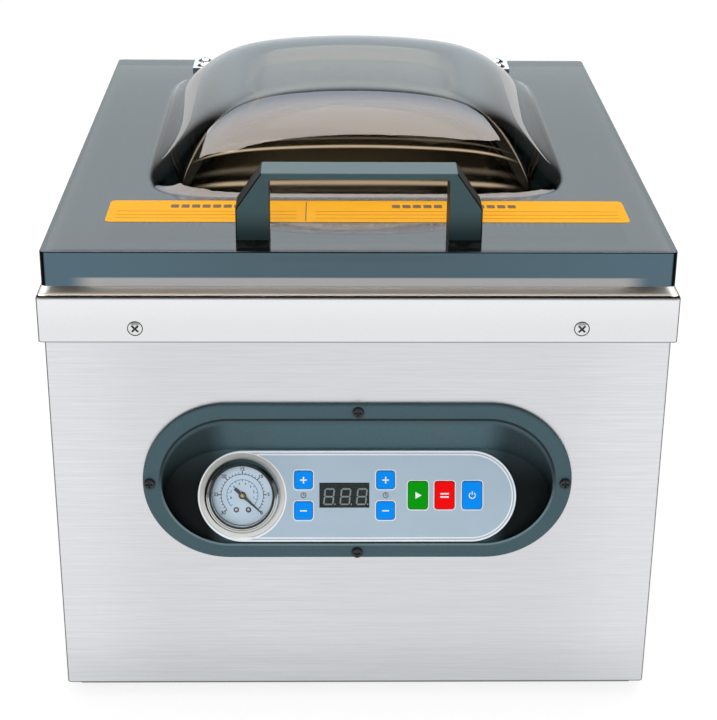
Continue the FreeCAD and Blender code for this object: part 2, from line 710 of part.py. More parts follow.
def top_deck():
    """Deck sheet with its folded skirt and the chamber's opening."""
    z0 = DECK_Z1 - SKIRT_H
    outer = box(-SKIRT_X, SKIRT_X, SKIRT_Y0, SKIRT_Y1, z0, DECK_Z1)
    folds = [edge for edge in outer.Edges if edge.BoundBox.ZMax > z0 + 1e-3]
    outer = outer.makeFillet(SKIRT_BEND, folds)
    inner = box(-SKIRT_X + DECK_T, SKIRT_X - DECK_T, SKIRT_Y0 + DECK_T, SKIRT_Y1 - DECK_T,
                z0 - OVERRUN, DECK_Z0)
    folds = [edge for edge in inner.Edges if edge.BoundBox.ZMax > z0]
    inner = inner.makeFillet(SKIRT_BEND - DECK_T, folds)
    opening = rounded_block(-TUB_W / 2, TUB_W / 2, TUB_Y0, TUB_Y1,
                            DECK_Z0 - OVERRUN, DECK_Z1 + OVERRUN, TUB_CORNER)
    cutters = [inner, opening]
    cutters += [turned(deck_screw_hole(), point, axis) for point, axis in skirt_screw_points()]
    cutters += [pan_hole(point, BACK) for point in hinge_base_screw_points()]
    return outer.cut(cutters)


def chamber_tub():
    """Drawn chamber tub with its flange, two line nipples and the lift cylinders' holes."""
    half = TUB_W / 2
    cavity = rounded_block(-half, half, TUB_Y0, TUB_Y1, TUB_Z0, DECK_Z0 + OVERRUN, TUB_CORNER)
    cavity = round_floor(cavity, TUB_FLOOR_R)
    body = rounded_block(-half - TUB_T, half + TUB_T, TUB_Y0 - TUB_T, TUB_Y1 + TUB_T,
                         TUB_Z0 - TUB_T, DECK_Z0, TUB_CORNER + TUB_T)
    body = round_floor(body, TUB_FLOOR_R + TUB_T)
    reach = TUB_T + TUB_FLANGE
    flange = rounded_block(-half - reach, half + reach, TUB_Y0 - reach, TUB_Y1 + reach,
                           DECK_Z0 - TUB_T, DECK_Z0, TUB_CORNER + reach)
    ports = (suction_port(), gauge_port())
    nipples = [rod(port, DOWN, BARB_D / 2, PORT_L) for port in ports]
    tub = body.fuse([flange] + nipples)
    cutters = [cavity]
    bore = BARB_D / 2 - PORT_WALL
    length = PORT_L + TUB_T + 2 * OVERRUN
    cutters += [rod(port + UP * (TUB_T + OVERRUN), DOWN, bore, length) for port in ports]
    neck = CYLINDER_NECK_D / 2 + SCREW_FIT
    low = TUB_Z0 - TUB_T - OVERRUN
    cutters += [rod(Vector(x, BAR_MID_Y, low), UP, neck, TUB_T + 2 * OVERRUN) for x in (-POST_X, POST_X)]
    return tub.cut(cutters)


def round_floor(block, radius):
    """Round the edges at the bottom of a block."""
    low = block.BoundBox.ZMin
    return block.makeFillet(radius, [edge for edge in block.Edges if edge.BoundBox.ZMax < low + 1e-3])


def lid_gasket():
    """Soft gasket ring on the deck round the chamber."""
    z1 = LID_Z0 - LID_REST
    y0 = LID_Y0 + GASKET_FRONT
    y1 = LID_Y1 - GASKET_REAR
    outer = rounded_block(-GASKET_OUT_X, GASKET_OUT_X, y0, y1, DECK_Z1, z1, GASKET_CORNER)
    inner = rounded_block(-GASKET_OUT_X + GASKET_W, GASKET_OUT_X - GASKET_W, y0 + GASKET_W, y1 - GASKET_W,
                          DECK_Z1, z1, GASKET_CORNER - GASKET_W)
    ring = outer.cut(inner)
    crest = [edge for edge in ring.Edges if edge.BoundBox.ZMin > z1 - 1e-3]
    return ring.makeFillet(GASKET_ROUND, crest)


def deck_screws():
    """Raised countersunk screws round the skirt."""
    screw = deck_screw(HIDDEN_SCREW_LENGTH)
    return Part.makeCompound([turned(screw, point, axis) for point, axis in skirt_screw_points()])


def rear_screws():
    """Pan-head screws of the rear panel."""
    screw = pan_screw(PAN_LENGTH)
    return Part.makeCompound([turned(screw, point, BACK) for point in rear_screw_points()])


def base_screws():
    """Pan-head screws under the base plate."""
    screw = pan_screw(PAN_LENGTH)
    return Part.makeCompound([turned(screw, point, DOWN) for point in base_screw_points()])


def dome_height(u, v):
    """Height of the blown dome as a share of its full height, at outline shares u and v."""
    reach = (abs(u) ** DOME_SQUARENESS + abs(v) ** DOME_SQUARENESS) ** (1 / DOME_SQUARENESS)
    if reach >= 1:
        return 0.0
    return (1 - reach ** DOME_SHOULDER) ** DOME_FLARE * (1 - DOME_CROWN * u * u)


def dome_patch(half_w, half_d, height, z):
    """Smooth face of a dome of the given half outline over a flat rectangle at height z."""
    span_x = half_w + DOME_MARGIN
    span_y = half_d + DOME_MARGIN
    middle = LID_Y0 + DOME_Y
    rows = []
    for i in range(DOME_STEPS + 1):
        x = span_x * (2 * i / DOME_STEPS - 1)
        row = []
        for j in range(DOME_STEPS + 1):
            y = span_y * (2 * j / DOME_STEPS - 1)
            row.append(Vector(x, middle + y, z + height * dome_height(x / half_w, y / half_d)))
        rows.append(row)
    surface = Part.BSplineSurface()
    surface.interpolate(rows)
    return surface.toShape()


def lid_outline(inset, z):
    """Outline of the lid's plate at height z, drawn in by an inset."""
    half = LID_W / 2 - inset
    return rounded_outline(-half, half, LID_Y0 + inset, LID_Y1 - inset, LID_CORNER - inset, z)


def lid_face(patch, outline):
    """Flat face of the lid's plate inside an outline, with a hole along a dome patch's border."""
    hole = Part.Wire(Part.__sortEdges__(patch.Edges))
    return Part.makeFace([outline, hole], "Part::FaceMakerBullseye")


def lid_shell():
    """Clear lid: a thick plate whose middle is blown up into a hollow dome."""
    outside = dome_patch(DOME_HALF_W, DOME_HALF_D, DOME_H, LID_Z1)
    inside = dome_patch(DOME_HALF_W - DOME_WALL, DOME_HALF_D - DOME_WALL, LID_T + DOME_H - DOME_WALL, LID_Z0)
    outlines = [lid_outline(LID_EDGE, LID_Z0), lid_outline(0, LID_Z0 + LID_EDGE),
                lid_outline(0, LID_Z1 - LID_EDGE), lid_outline(LID_EDGE, LID_Z1)]
    sides = Part.makeLoft(outlines, False, True)
    bottom = lid_face(inside, outlines[0])
    top = lid_face(outside, outlines[-1])
    skin = Part.makeCompound([outside, inside, top, bottom] + sides.Faces)
    skin.sewShape(0.001)
    solid = Part.Solid(Part.Shell(skin.Faces))
    if solid.Volume < 0:
        solid.reverse()
    radius = RIVET_SHANK_D / 2 + SCREW_FIT
    seats = hinge_screw_points() + handle_screw_points()
    through = LID_T + 2 * OVERRUN
    return solid.cut([rod(Vector(p.x, p.y, LID_Z0 - OVERRUN), UP, radius, through) for p in seats])


def lid_handle():
    """Bridge handle with sloped shoulders, standing on the lid's front border."""
    half = HANDLE_W / 2
    y0 = LID_Y0 + HANDLE_Y
    z0 = LID_Z1
    z1 = z0 + HANDLE_H
    shoulder = half - HANDLE_SLOPE_W
    cheek = z1 - HANDLE_SLOPE_H
    corners = [(-half, z0), (-half, cheek), (-shoulder, z1), (shoulder, z1), (half, cheek), (half, z0)]
    points = [Vector(x, y0, z) for x, z in corners]
    outside = Part.Face(Part.makePolygon(points + points[:1])).extrude(Vector(0, HANDLE_D, 0))
    face_y = (y0, y0 + HANDLE_D)
    edges = [edge for edge in outside.Edges
             if edge.BoundBox.YLength < 1e-3 and edge.BoundBox.ZMax > z0 + 1e-3]
    outside = outside.makeChamfer(HANDLE_EDGE, edges)
    inner = half - HANDLE_LEG
    gap = box(-inner, inner, face_y[0] - OVERRUN, face_y[1] + OVERRUN, z0 - OVERRUN, z1 - HANDLE_BAR)
    throat = [edge for edge in gap.Edges
              if edge.BoundBox.YLength > 1 and edge.BoundBox.ZMin > z1 - HANDLE_BAR - 1e-3]
    gap = gap.makeFillet(HANDLE_THROAT, throat)
    radius = RIVET_SHANK_D / 2 + SCREW_FIT
    depth = HIDDEN_SCREW_LENGTH + OVERRUN
    wells = [rod(Vector(p.x, p.y, z0 - OVERRUN), UP, radius, depth + OVERRUN) for p in handle_screw_points()]
    return outside.cut([gap] + wells)


def handle_screws():
    """Screws from under the lid up into the handle's legs."""
    screw = dome_screw(LID_T + HIDDEN_SCREW_LENGTH)
    return Part.makeCompound([turned(screw, point, DOWN) for point in handle_screw_points()])


def pad_channel():
    """Aluminium channel under the lid that holds the silicone pad."""
    wide = PAD_W / 2 + PAD_CHANNEL_T
    half = BAR_L / 2
    z0 = LID_Z0 - PAD_CHANNEL_H
    block = box(-half, half, BAR_MID_Y - wide, BAR_MID_Y + wide, z0, LID_Z0)
    groove = box(-half - OVERRUN, half + OVERRUN, BAR_MID_Y - PAD_W / 2, BAR_MID_Y + PAD_W / 2,
                 z0 - OVERRUN, LID_Z0 - PAD_CHANNEL_T)
    return block.cut(groove)


def seal_pad():
    """Silicone pad that the seal bar presses against."""
    half = BAR_L / 2
    pad = box(-half, half, BAR_MID_Y - PAD_W / 2, BAR_MID_Y + PAD_W / 2, PAD_Z0, PAD_Z0 + PAD_H)
    edges = [edge for edge in pad.Edges if edge.BoundBox.XLength > 1 and edge.BoundBox.ZMax < PAD_Z0 + 1e-3]
    return pad.makeFillet(1.0, edges)


def hinge_lid_leaf(side):
    """Cranked leaf over the lid's rear edge, rolled round the pin at its middle."""
    x0 = side * HINGE_X - HINGE_W / 2
    x1 = x0 + HINGE_W
    third = HINGE_W / 4
    top = LID_Z1 + HINGE_T
    strap = box(x0, x1, LID_Y1 - HINGE_STRAP, LID_Y1 + HINGE_T, LID_Z1, top)
    clear = HINGE_Z + HINGE_KNUCKLE_R + HINGE_CLEAR
    apron = box(x0, x1, LID_Y1, LID_Y1 + HINGE_T, clear, top)
    tongue0 = x0 + third + HINGE_SPLIT
    tongue1 = x1 - third - HINGE_SPLIT
    tongue = box(tongue0, tongue1, LID_Y1, LID_Y1 + HINGE_T, HINGE_Z, top)
    knuckle = rod(Vector(tongue0, HINGE_Y, HINGE_Z), RIGHT, HINGE_KNUCKLE_R, tongue1 - tongue0)
    leaf = strap.fuse([apron, tongue, knuckle]).removeSplitter()
    bore = rod(Vector(x0, HINGE_Y, HINGE_Z), RIGHT, HINGE_PIN_D / 2 + HINGE_PIN_FIT, HINGE_W)
    radius = RIVET_SHANK_D / 2 + SCREW_FIT
    holes = [rod(Vector(p.x, p.y, LID_Z1 - OVERRUN), UP, radius, HINGE_T + 2 * OVERRUN)
             for p in hinge_screw_points()]
    return leaf.cut([bore] + holes)


def hinge_base_leaf(side):
    """Upright leaf on the rear skirt, rolled round the pin at both sides."""
    x0 = side * HINGE_X - HINGE_W / 2
    x1 = x0 + HINGE_W
    third = HINGE_W / 4
    low = DECK_Z1 - HINGE_BASE_DROP
    plate = box(x0, x1, SKIRT_Y1, SKIRT_Y1 + HINGE_T, low, HINGE_Z - HINGE_KNUCKLE_R - HINGE_CLEAR)
    pieces = []
    for start in (x0, x1 - third):
        pieces.append(box(start, start + third, SKIRT_Y1, SKIRT_Y1 + HINGE_T, low, HINGE_Z))
        pieces.append(rod(Vector(start, HINGE_Y, HINGE_Z), RIGHT, HINGE_KNUCKLE_R, third))
    leaf = plate.fuse(pieces).removeSplitter()
    bore = rod(Vector(x0 - OVERRUN, HINGE_Y, HINGE_Z), RIGHT,
               HINGE_PIN_D / 2 + HINGE_PIN_FIT, HINGE_W + 2 * OVERRUN)
    holes = [pan_hole(point, BACK) for point in hinge_base_screw_points()]
    return leaf.cut([bore] + holes)


def hinge_pins():
    """Pins of the two hinges."""
    half = HINGE_W / 2
    pins = [rod(Vector(side * HINGE_X - half, HINGE_Y, HINGE_Z), RIGHT, HINGE_PIN_D / 2, HINGE_W)
            for side in (-1, 1)]
    return Part.makeCompound(pins)


def hinge_base_screws():
    """Dome-head screws that hold the base leaves to the skirt and rear panel."""
    head = dome_screw(PAN_LENGTH)
    reach = PAN_LENGTH
    slim = rod(Vector(0, 0, -reach - OVERRUN), UP, RIVET_SHANK_D, reach + OVERRUN)
    shank = rod(Vector(0, 0, -reach), UP, PAN_SHANK_D / 2, reach + RIVET_HEAD_H / 4)
    screw = head.cut(slim).fuse(shank).removeSplitter()
    return Part.makeCompound([turned(screw, point, BACK) for point in hinge_base_screw_points()])


def hinge_lid_screws():
    """Dome-head screws through the lid's leaves and the lid."""
    screw = dome_screw(HINGE_T + LID_T + NUT_H)
    return Part.makeCompound([turned(screw, point, UP) for point in hinge_screw_points()])


def hinge_lid_nuts():
    """Nuts of the hinge screws, under the lid."""
    nuts = []
    radius = NUT_AF / math.sqrt(3)
    for point in hinge_screw_points():
        z = LID_Z0 - NUT_H
        ring = [Vector(point.x + radius * math.cos(math.radians(60 * k)),
                       point.y + radius * math.sin(math.radians(60 * k)), z) for k in range(7)]
        nut = Part.Face(Part.makePolygon(ring)).extrude(Vector(0, 0, NUT_H))
        bore = rod(Vector(point.x, point.y, z - OVERRUN), UP,
                   RIVET_SHANK_D / 2 + SCREW_FIT, NUT_H + 2 * OVERRUN)
        nuts.append(nut.cut(bore))
    return Part.makeCompound(nuts)


def lift_cylinders():
    """Two lift cylinders through the chamber's floor."""
    top = BAR_Z0 - BAR_STOP
    under = TUB_Z0 - TUB_T
    cylinders = []
    for x in (-POST_X, POST_X):
        low = Vector(x, BAR_MID_Y, under - CYLINDER_BELOW)
        body = rod(low, UP, CYLINDER_D / 2, CYLINDER_BELOW)
        neck = rod(Vector(x, BAR_MID_Y, under), UP, CYLINDER_NECK_D / 2, top - under)
        bore = rod(low + UP * TUB_T, UP, POST_D / 2 + POST_FIT, top - low.z)
        cylinders.append(body.fuse(neck).cut(bore))
    return Part.makeCompound(cylinders)


def seal_bar():
    """Aluminium seal bar."""
    half = BAR_L / 2
    bar = box(-half, half, BAR_MID_Y - BAR_W / 2, BAR_MID_Y + BAR_W / 2, BAR_Z0, BAR_Z1)
    groove = box(-half - OVERRUN, half + OVERRUN, BAR_MID_Y - WIRE_W / 2, BAR_MID_Y + WIRE_W / 2,
                 BAR_Z1 - WIRE_T, BAR_Z1 + OVERRUN)
    return bar.cut(groove)


def heating_element():
    """Flat heating wire in the seal bar's groove."""
    half = BAR_L / 2
    return box(-half, half, BAR_MID_Y - WIRE_W / 2, BAR_MID_Y + WIRE_W / 2, BAR_Z1 - WIRE_T, BAR_Z1)


def seal_tape():
    """Slippery tape over the bar's top and upper sides."""
    half = BAR_L / 2
    wide = BAR_W / 2
    cover = box(-half, half, BAR_MID_Y - wide - TAPE_T, BAR_MID_Y + wide + TAPE_T,
                BAR_Z1 - TAPE_SKIRT, BAR_TOP)
    core = box(-half - OVERRUN, half + OVERRUN, BAR_MID_Y - wide, BAR_MID_Y + wide,
               BAR_Z1 - TAPE_SKIRT - OVERRUN, BAR_Z1)
    return cover.cut(core)


def bar_posts():
    """Posts under the seal bar, in the lift cylinders."""
    low = BAR_Z0 - POST_L
    seats = [Vector(x, BAR_MID_Y, low) for x in (-POST_X, POST_X)]
    return Part.makeCompound([rod(seat, UP, POST_D / 2, POST_L) for seat in seats])


def panel_bezel():
    """Moulded bezel: a flange on the casing round a pocket with a sloping floor."""
    pocket = pocket_cup(0, 0)
    cup = pocket_cup(BEZEL_WALL, BEZEL_WALL)
    flange = Part.Face(upright_stadium(BEZEL_W, BEZEL_H, BEZEL_Y0)).extrude(Vector(0, BEZEL_T, 0))
    rim = [edge for edge in flange.Edges if edge.BoundBox.YMax < BEZEL_Y0 + 1e-3]
    flange = flange.makeFillet(BEZEL_T * 0.4, rim)
    hatch = Part.Face(stadium(PLATE_W - 2 * PLATE_LEDGE, PLATE_H - 2 * PLATE_LEDGE))
    hatch = hatch.extrude(Vector(0, 0, 2 * (BEZEL_WALL + OVERRUN)))
    hatch.Placement = Placement(Vector(0, 0, -BEZEL_WALL - 2 * OVERRUN), Rotation())
    holes = [pan_hole(point, FORWARD) for point in bezel_screw_points()]
    return flange.fuse(cup).cut([pocket, on_panel(hatch)] + holes)


def bezel_screws():
    """Pan-head screws of the bezel."""
    screw = pan_screw(PAN_LENGTH)
    return Part.makeCompound([turned(screw, point, FORWARD) for point in bezel_screw_points()])


def key_layout():
    """Name, centre and size of every key in the plate's own plane."""
    high = KEY_ROW_UP + SMALL_KEY_UP
    low = KEY_ROW_UP - SMALL_KEY_UP
    return (
        ("vac_time_plus_key", VAC_KEY_X, high, SMALL_KEY, SMALL_KEY),
        ("vac_time_minus_key", VAC_KEY_X, low, SMALL_KEY, SMALL_KEY),
        ("seal_time_plus_key", SEAL_TIME_KEY_X, high, SMALL_KEY, SMALL_KEY),
        ("seal_time_minus_key", SEAL_TIME_KEY_X, low, SMALL_KEY, SMALL_KEY),
        ("start_key", START_KEY_X, KEY_ROW_UP, LARGE_KEY_W, LARGE_KEY_H),
        ("seal_key", SEAL_KEY_X, KEY_ROW_UP, LARGE_KEY_W, LARGE_KEY_H),
        ("power_key", POWER_KEY_X, KEY_ROW_UP, LARGE_KEY_W, LARGE_KEY_H),
    )


def key_prism(x, up, width, height, radius, low, high):
    """Rounded prism of a key between two heights over the plate's seat."""
    return rounded_block(x - width / 2, x + width / 2, up - height / 2, up + height / 2, low, high, radius)


def control_plate():
    """Printed plate on the pocket's floor, with openings for keys, display and gauge."""
    plate = Part.Face(stadium(PLATE_W, PLATE_H)).extrude(Vector(0, 0, PLATE_T))
    cutters = [rod(Vector(GAUGE_X, GAUGE_UP, -OVERRUN), UP,
                   GAUGE_BARREL_D / 2 + GAUGE_FIT, PLATE_T + 2 * OVERRUN)]
    cutters.append(box(DISPLAY_X - DISPLAY_W / 2, DISPLAY_X + DISPLAY_W / 2, KEY_ROW_UP - DISPLAY_H / 2,
                       KEY_ROW_UP + DISPLAY_H / 2, -OVERRUN, PLATE_T + OVERRUN))
    for name, x, up, width, height in key_layout():
        cutters.append(key_prism(x, up, width + 2 * KEY_FIT, height + 2 * KEY_FIT, KEY_ROUND + KEY_FIT,
                                 -OVERRUN, PLATE_T + OVERRUN))
    return on_panel(plate.cut(cutters))


def panel_key(x, up, width, height):
    """Push key with a rim behind the plate."""
    top = PLATE_T + KEY_RISE
    cap = key_prism(x, up, width, height, KEY_ROUND, -KEY_REST - KEY_RIM_T, top)
    crest = [edge for edge in cap.Edges if edge.BoundBox.ZMin > top - 1e-3]
    cap = cap.makeFillet(KEY_RISE / 2, crest)
    rim = key_prism(x, up, width + 2 * KEY_RIM, height + 2 * KEY_RIM, KEY_ROUND,
                    -KEY_REST - KEY_RIM_T, -KEY_REST)
    return on_panel(cap.fuse(rim).removeSplitter())


def key_switches():
    """Switches on the board, one under each key."""
    tip = -KEY_REST - KEY_RIM_T - KEY_TRAVEL - KEY_SWITCH_GAP
    half = SWITCH_W / 2
    switches = []
    for name, x, up, width, height in key_layout():
        body = box(x - half, x + half, up - half, up + half, -BOARD_GAP, -BOARD_GAP + SWITCH_H)
        plunger = rod(Vector(x, up, -BOARD_GAP + SWITCH_H), UP, SWITCH_TIP_D / 2, tip + BOARD_GAP - SWITCH_H)
        switches.append(on_panel(body.fuse(plunger)))
    return Part.makeCompound(switches)


def control_board():
    """Circuit board behind the plate."""
    half = BOARD_H / 2
    return on_panel(box(BOARD_X0, BOARD_X1, KEY_ROW_UP - half, KEY_ROW_UP + half,
                        -BOARD_GAP - BOARD_T, -BOARD_GAP))


def board_spacers():
    """Spacers between the plate and the board's corners."""
    spacers = []
    for x in (BOARD_X0 + SPACER_IN, BOARD_X1 - SPACER_IN):
        for side in (-1, 1):
            up = KEY_ROW_UP + side * (BOARD_H / 2 - SPACER_IN)
            spacers.append(on_panel(rod(Vector(x, up, -BOARD_GAP), UP, SPACER_D / 2, BOARD_GAP)))
    return Part.makeCompound(spacers)


def display_block(low, high):
    """Block of the display's size between two heights over the plate's seat."""
    half_w = DISPLAY_W / 2 - DISPLAY_FIT
    half_h = DISPLAY_H / 2 - DISPLAY_FIT
    return on_panel(box(DISPLAY_X - half_w, DISPLAY_X + half_w,
                        KEY_ROW_UP - half_h, KEY_ROW_UP + half_h, low, high))


def display_module():
    """Three-digit display block on the board."""
    return display_block(-BOARD_GAP, PLATE_T - WINDOW_SUNK - WINDOW_T)


def display_window():
    """Tinted pane over the display."""
    return display_block(PLATE_T - WINDOW_SUNK - WINDOW_T, PLATE_T - WINDOW_SUNK)


def gauge_centre(out):
    """Point on the gauge's axis at a height over the plate's seat."""
    return Vector(GAUGE_X, GAUGE_UP, out)


def gauge_case():
    """Gauge case: a barrel through the plate with a front flange and a rear stem."""
    seat = PLATE_T
    barrel = rod(gauge_centre(-GAUGE_BARREL_L), UP, GAUGE_BARREL_D / 2, GAUGE_BARREL_L + seat)
    flange = rod(gauge_centre(seat), UP, GAUGE_D / 2, GAUGE_FLANGE_T)
    stem = rod(gauge_centre(-GAUGE_BARREL_L - GAUGE_STEM_L), UP, GAUGE_STEM_D / 2, GAUGE_STEM_L)
    hollow = rod(gauge_centre(seat - GAUGE_WALL), UP, GAUGE_DIAL_D / 2, GAUGE_WALL + GAUGE_FLANGE_T + OVERRUN)
    works = rod(gauge_centre(-GAUGE_BARREL_L + GAUGE_WALL), UP,
                NEEDLE_PIVOT_D / 2 + NEEDLE_FIT, GAUGE_BARREL_L)
    return on_panel(barrel.fuse([flange, stem]).cut([hollow, works]))


def gauge_bezel():
    """Ring that holds the gauge's glass."""
    low = PLATE_T + GAUGE_FLANGE_T
    ring = rod(gauge_centre(low), UP, GAUGE_D / 2, GAUGE_RING_H)
    crest = [edge for edge in ring.Edges if edge.BoundBox.ZMin > low + GAUGE_RING_H - 1e-3]
    ring = ring.makeFillet(GAUGE_RING_H * 0.4, crest)
    sight = rod(gauge_centre(low - OVERRUN), UP, GAUGE_DIAL_D / 2, GAUGE_RING_H + 2 * OVERRUN)
    return on_panel(ring.cut([sight, gauge_glass_block(GAUGE_FIT / 3)]))


def gauge_glass_block(grow):
    """Disc of the glass in its groove, grown by a fit."""
    top = PLATE_T + GAUGE_FLANGE_T + GAUGE_RING_H - GAUGE_LIP
    radius = GAUGE_DIAL_D / 2 + GAUGE_LIP
    return rod(gauge_centre(top - GAUGE_GLASS_T - grow), UP, radius + grow, GAUGE_GLASS_T + 2 * grow)


def gauge_glass():
    """Clear front of the gauge."""
    return on_panel(gauge_glass_block(0))


def gauge_dial():
    """Dial face on the floor of the gauge's case."""
    radius = GAUGE_DIAL_D / 2 - GAUGE_FIT
    low = PLATE_T - GAUGE_WALL
    disc = rod(gauge_centre(low), UP, radius, GAUGE_DIAL_T)
    bore = rod(gauge_centre(low - OVERRUN), UP, NEEDLE_PIVOT_D / 2 + NEEDLE_FIT, GAUGE_DIAL_T + 2 * OVERRUN)
    return on_panel(disc.cut(bore))


def gauge_needle():
    """Tapered needle on its pivot, at rest on the dial's zero."""
    low = PLATE_T - GAUGE_WALL + GAUGE_DIAL_T + NEEDLE_LIFT
    outline = [(-NEEDLE_TAIL, -0.9), (0, -0.9), (NEEDLE_R, -0.2),
               (NEEDLE_R, 0.2), (0, 0.9), (-NEEDLE_TAIL, 0.9)]
    points = [Vector(x, y, low) for x, y in outline]
    blade = Part.Face(Part.makePolygon(points + points[:1])).extrude(Vector(0, 0, NEEDLE_T))
    hub = rod(Vector(0, 0, low - NEEDLE_LIFT / 2), UP, NEEDLE_HUB_D / 2, NEEDLE_T + NEEDLE_LIFT)
    foot = -GAUGE_BARREL_L / 3
    pivot = rod(Vector(0, 0, foot), UP, NEEDLE_PIVOT_D / 2, low - foot)
    needle = blade.fuse([hub, pivot]).removeSplitter()
    needle.Placement = Placement(gauge_centre(0), Rotation(UP, NEEDLE_REST))
    return on_panel(needle)


def pump_motor():
    """Pump motor: barrel, end bells with shaft bores, and a foot plate on saddles."""
    barrel = rod(Vector(MOTOR_X0, MOTOR_Y, MOTOR_Z), RIGHT, MOTOR_D / 2, MOTOR_L)
    bell = rod(Vector(MOTOR_X0 - MOTOR_BELL_T, MOTOR_Y, MOTOR_Z), RIGHT, MOTOR_BELL_D / 2, MOTOR_BELL_T)
    foot_z = CASE_Z0 + MOUNT_H
    half_x = MOTOR_L / 2
    half_y = MOTOR_D / 2
    foot = box(PUMP_X - half_x, PUMP_X + half_x, MOTOR_Y - half_y, MOTOR_Y + half_y,
               foot_z, foot_z + MOTOR_FOOT_T)
    saddle_y = half_y * 0.7
    saddle_z = MOTOR_Z - half_y * 0.5
    saddles = [box(x - MOTOR_BELL_T, x + MOTOR_BELL_T, MOTOR_Y - saddle_y, MOTOR_Y + saddle_y,
                   foot_z, saddle_z)
               for x in (PUMP_X - half_x / 2, PUMP_X + half_x / 2)]
    motor = barrel.fuse([bell, foot] + saddles).removeSplitter()
    bore = rod(Vector(MOTOR_X0 - MOTOR_BELL_T - OVERRUN, MOTOR_Y, MOTOR_Z), RIGHT, SHAFT_D / 2 + SHAFT_FIT,
               MOTOR_L + MOTOR_BELL_T + 2 * OVERRUN)
    low = UP * (MOUNT_H - OVERRUN)
    holes = [rod(p + low, UP, PAN_SHANK_D / 2, MOTOR_FOOT_T + 2 * OVERRUN) for p in mount_points()]
    return motor.cut([bore] + holes)


def motor_rotor():
    """Motor shaft with its cooling fan."""
    fan_x0 = MOTOR_X0 - MOTOR_BELL_T - FAN_GAP - FAN_T
    centre = Vector(fan_x0, MOTOR_Y, MOTOR_Z)
    shaft_end = MOTOR_X1 - MOTOR_BELL_T
    shaft = rod(centre, RIGHT, SHAFT_D / 2, shaft_end - fan_x0)
    hub = rod(centre, RIGHT, FAN_HUB_D / 2, FAN_T)
    blades = []
    for index in range(FAN_BLADES):
        blade = box(-FAN_BLADE_T / 2, FAN_BLADE_T / 2, FAN_HUB_D / 4, FAN_D / 2,
                    FAN_BLADE_T, FAN_T - FAN_BLADE_T)
        turn = Rotation(RIGHT, 360 * index / FAN_BLADES).multiply(Rotation(BACK, 90))
        blade.Placement = Placement(centre, turn)
        blades.append(blade)
    return shaft.fuse([hub] + blades).removeSplitter()


def pump_mounts():
    """Rubber mounts between the base plate and the motor's foot."""
    return Part.makeCompound([rod(point, UP, MOUNT_D / 2, MOUNT_H) for point in mount_points()])


def pump_head():
    """Finned pump head on the motor's end, with a hose barb at its rear."""
    z0 = CASE_Z0 + MOUNT_H
    y0 = MOTOR_Y - HEAD_D / 2
    head = box(MOTOR_X1, MOTOR_X1 + HEAD_L, y0, y0 + HEAD_D, z0, z0 + HEAD_H)
    top = z0 + HEAD_H
    pitch = HEAD_L / HEAD_FINS
    slots = [box(MOTOR_X1 + (k + 0.5) * pitch - FIN_GAP / 2, MOTOR_X1 + (k + 0.5) * pitch + FIN_GAP / 2,
                 y0 - OVERRUN, y0 + HEAD_D + OVERRUN, top - FIN_DEPTH * 3, top + OVERRUN)
             for k in range(HEAD_FINS)]
    barb = rod(Vector(MOTOR_X1 + HEAD_L / 2, y0 + HEAD_D, pump_port_z()), BACK, BARB_D / 2, BARB_L)
    return head.cut(slots).fuse(barb)


def pump_port_z():
    """Height of the hose between the valve and the pump head."""
    return CASE_Z0 + VALVE_PORT_Z + MOUNT_H


def solenoid_valves():
    """Vacuum valve and release valve on the base plate, with coils and barbs."""
    valves = []
    for index in range(2):
        x = VALVE_X
        y = SKIRT_Y0 + VALVE_Y - index * VALVE_PITCH
        block = box(x - VALVE_W / 2, x + VALVE_W / 2, y - VALVE_D / 2, y + VALVE_D / 2,
                    CASE_Z0, CASE_Z0 + VALVE_BODY_H + MOUNT_H)
        top = CASE_Z0 + VALVE_BODY_H + MOUNT_H
        coil = rod(Vector(x, y, top), UP, VALVE_COIL_D / 2, VALVE_COIL_H)
        pieces = [coil]
        if index == 0:
            pieces.append(rod(Vector(x, y, top + VALVE_COIL_H), UP, BARB_D / 2, BARB_L))
            pieces.append(rod(Vector(x - VALVE_W / 2, y, pump_port_z()), LEFT, BARB_D / 2, BARB_L))
        valves.append(block.fuse(pieces).removeSplitter())
    return Part.makeCompound(valves)


def hose(start, corner, end):
    """Hose of two straight runs over their barbs, joined by one round bend."""
    way_in = (corner - start).normalize()
    way_out = (end - corner).normalize()
    half_turn = way_in.getAngle(way_out) / 2
    straight = max(BARB_L, PORT_L, GAUGE_STEM_L) + HOSE_WALL
    setback = min((corner - start).Length, (end - corner).Length) - straight
    bend = setback / math.tan(half_turn)
    first = corner - way_in * setback
    last = corner + way_out * setback
    middle = corner + (way_out - way_in).normalize() * (bend / math.cos(half_turn) - bend)
    arc = Part.Arc(first, middle, last).toShape()
    path = Part.Wire([Part.makeLine(start, first), arc, Part.makeLine(last, end)])
    bore = BARB_D / 2 + HOSE_FIT
    tubes = []
    for radius in (bore + HOSE_WALL, bore):
        ring = Part.Wire(Part.makeCircle(radius, start, way_in))
        tubes.append(path.makePipeShell([ring], True, False))
    return tubes[0].cut(tubes[1])


def suction_hose():
    """Hoses from the chamber to the vacuum valve and on to the pump."""
    port = suction_port()
    bore = BARB_D / 2 + HOSE_FIT
    coil_top = CASE_Z0 + VALVE_BODY_H + MOUNT_H + VALVE_COIL_H
    drop = pipe(Vector(port.x, port.y, coil_top), UP, bore + HOSE_WALL, bore, port.z - coil_top)
    z = pump_port_z()
    pump_x = MOTOR_X1 + HEAD_L / 2
    valve_side = Vector(VALVE_X - VALVE_W / 2, port.y, z)
    bend = Vector(pump_x, port.y, z)
    pump_side = Vector(pump_x, MOTOR_Y + HEAD_D / 2, z)
    return Part.makeCompound([drop, hose(valve_side, bend, pump_side)])


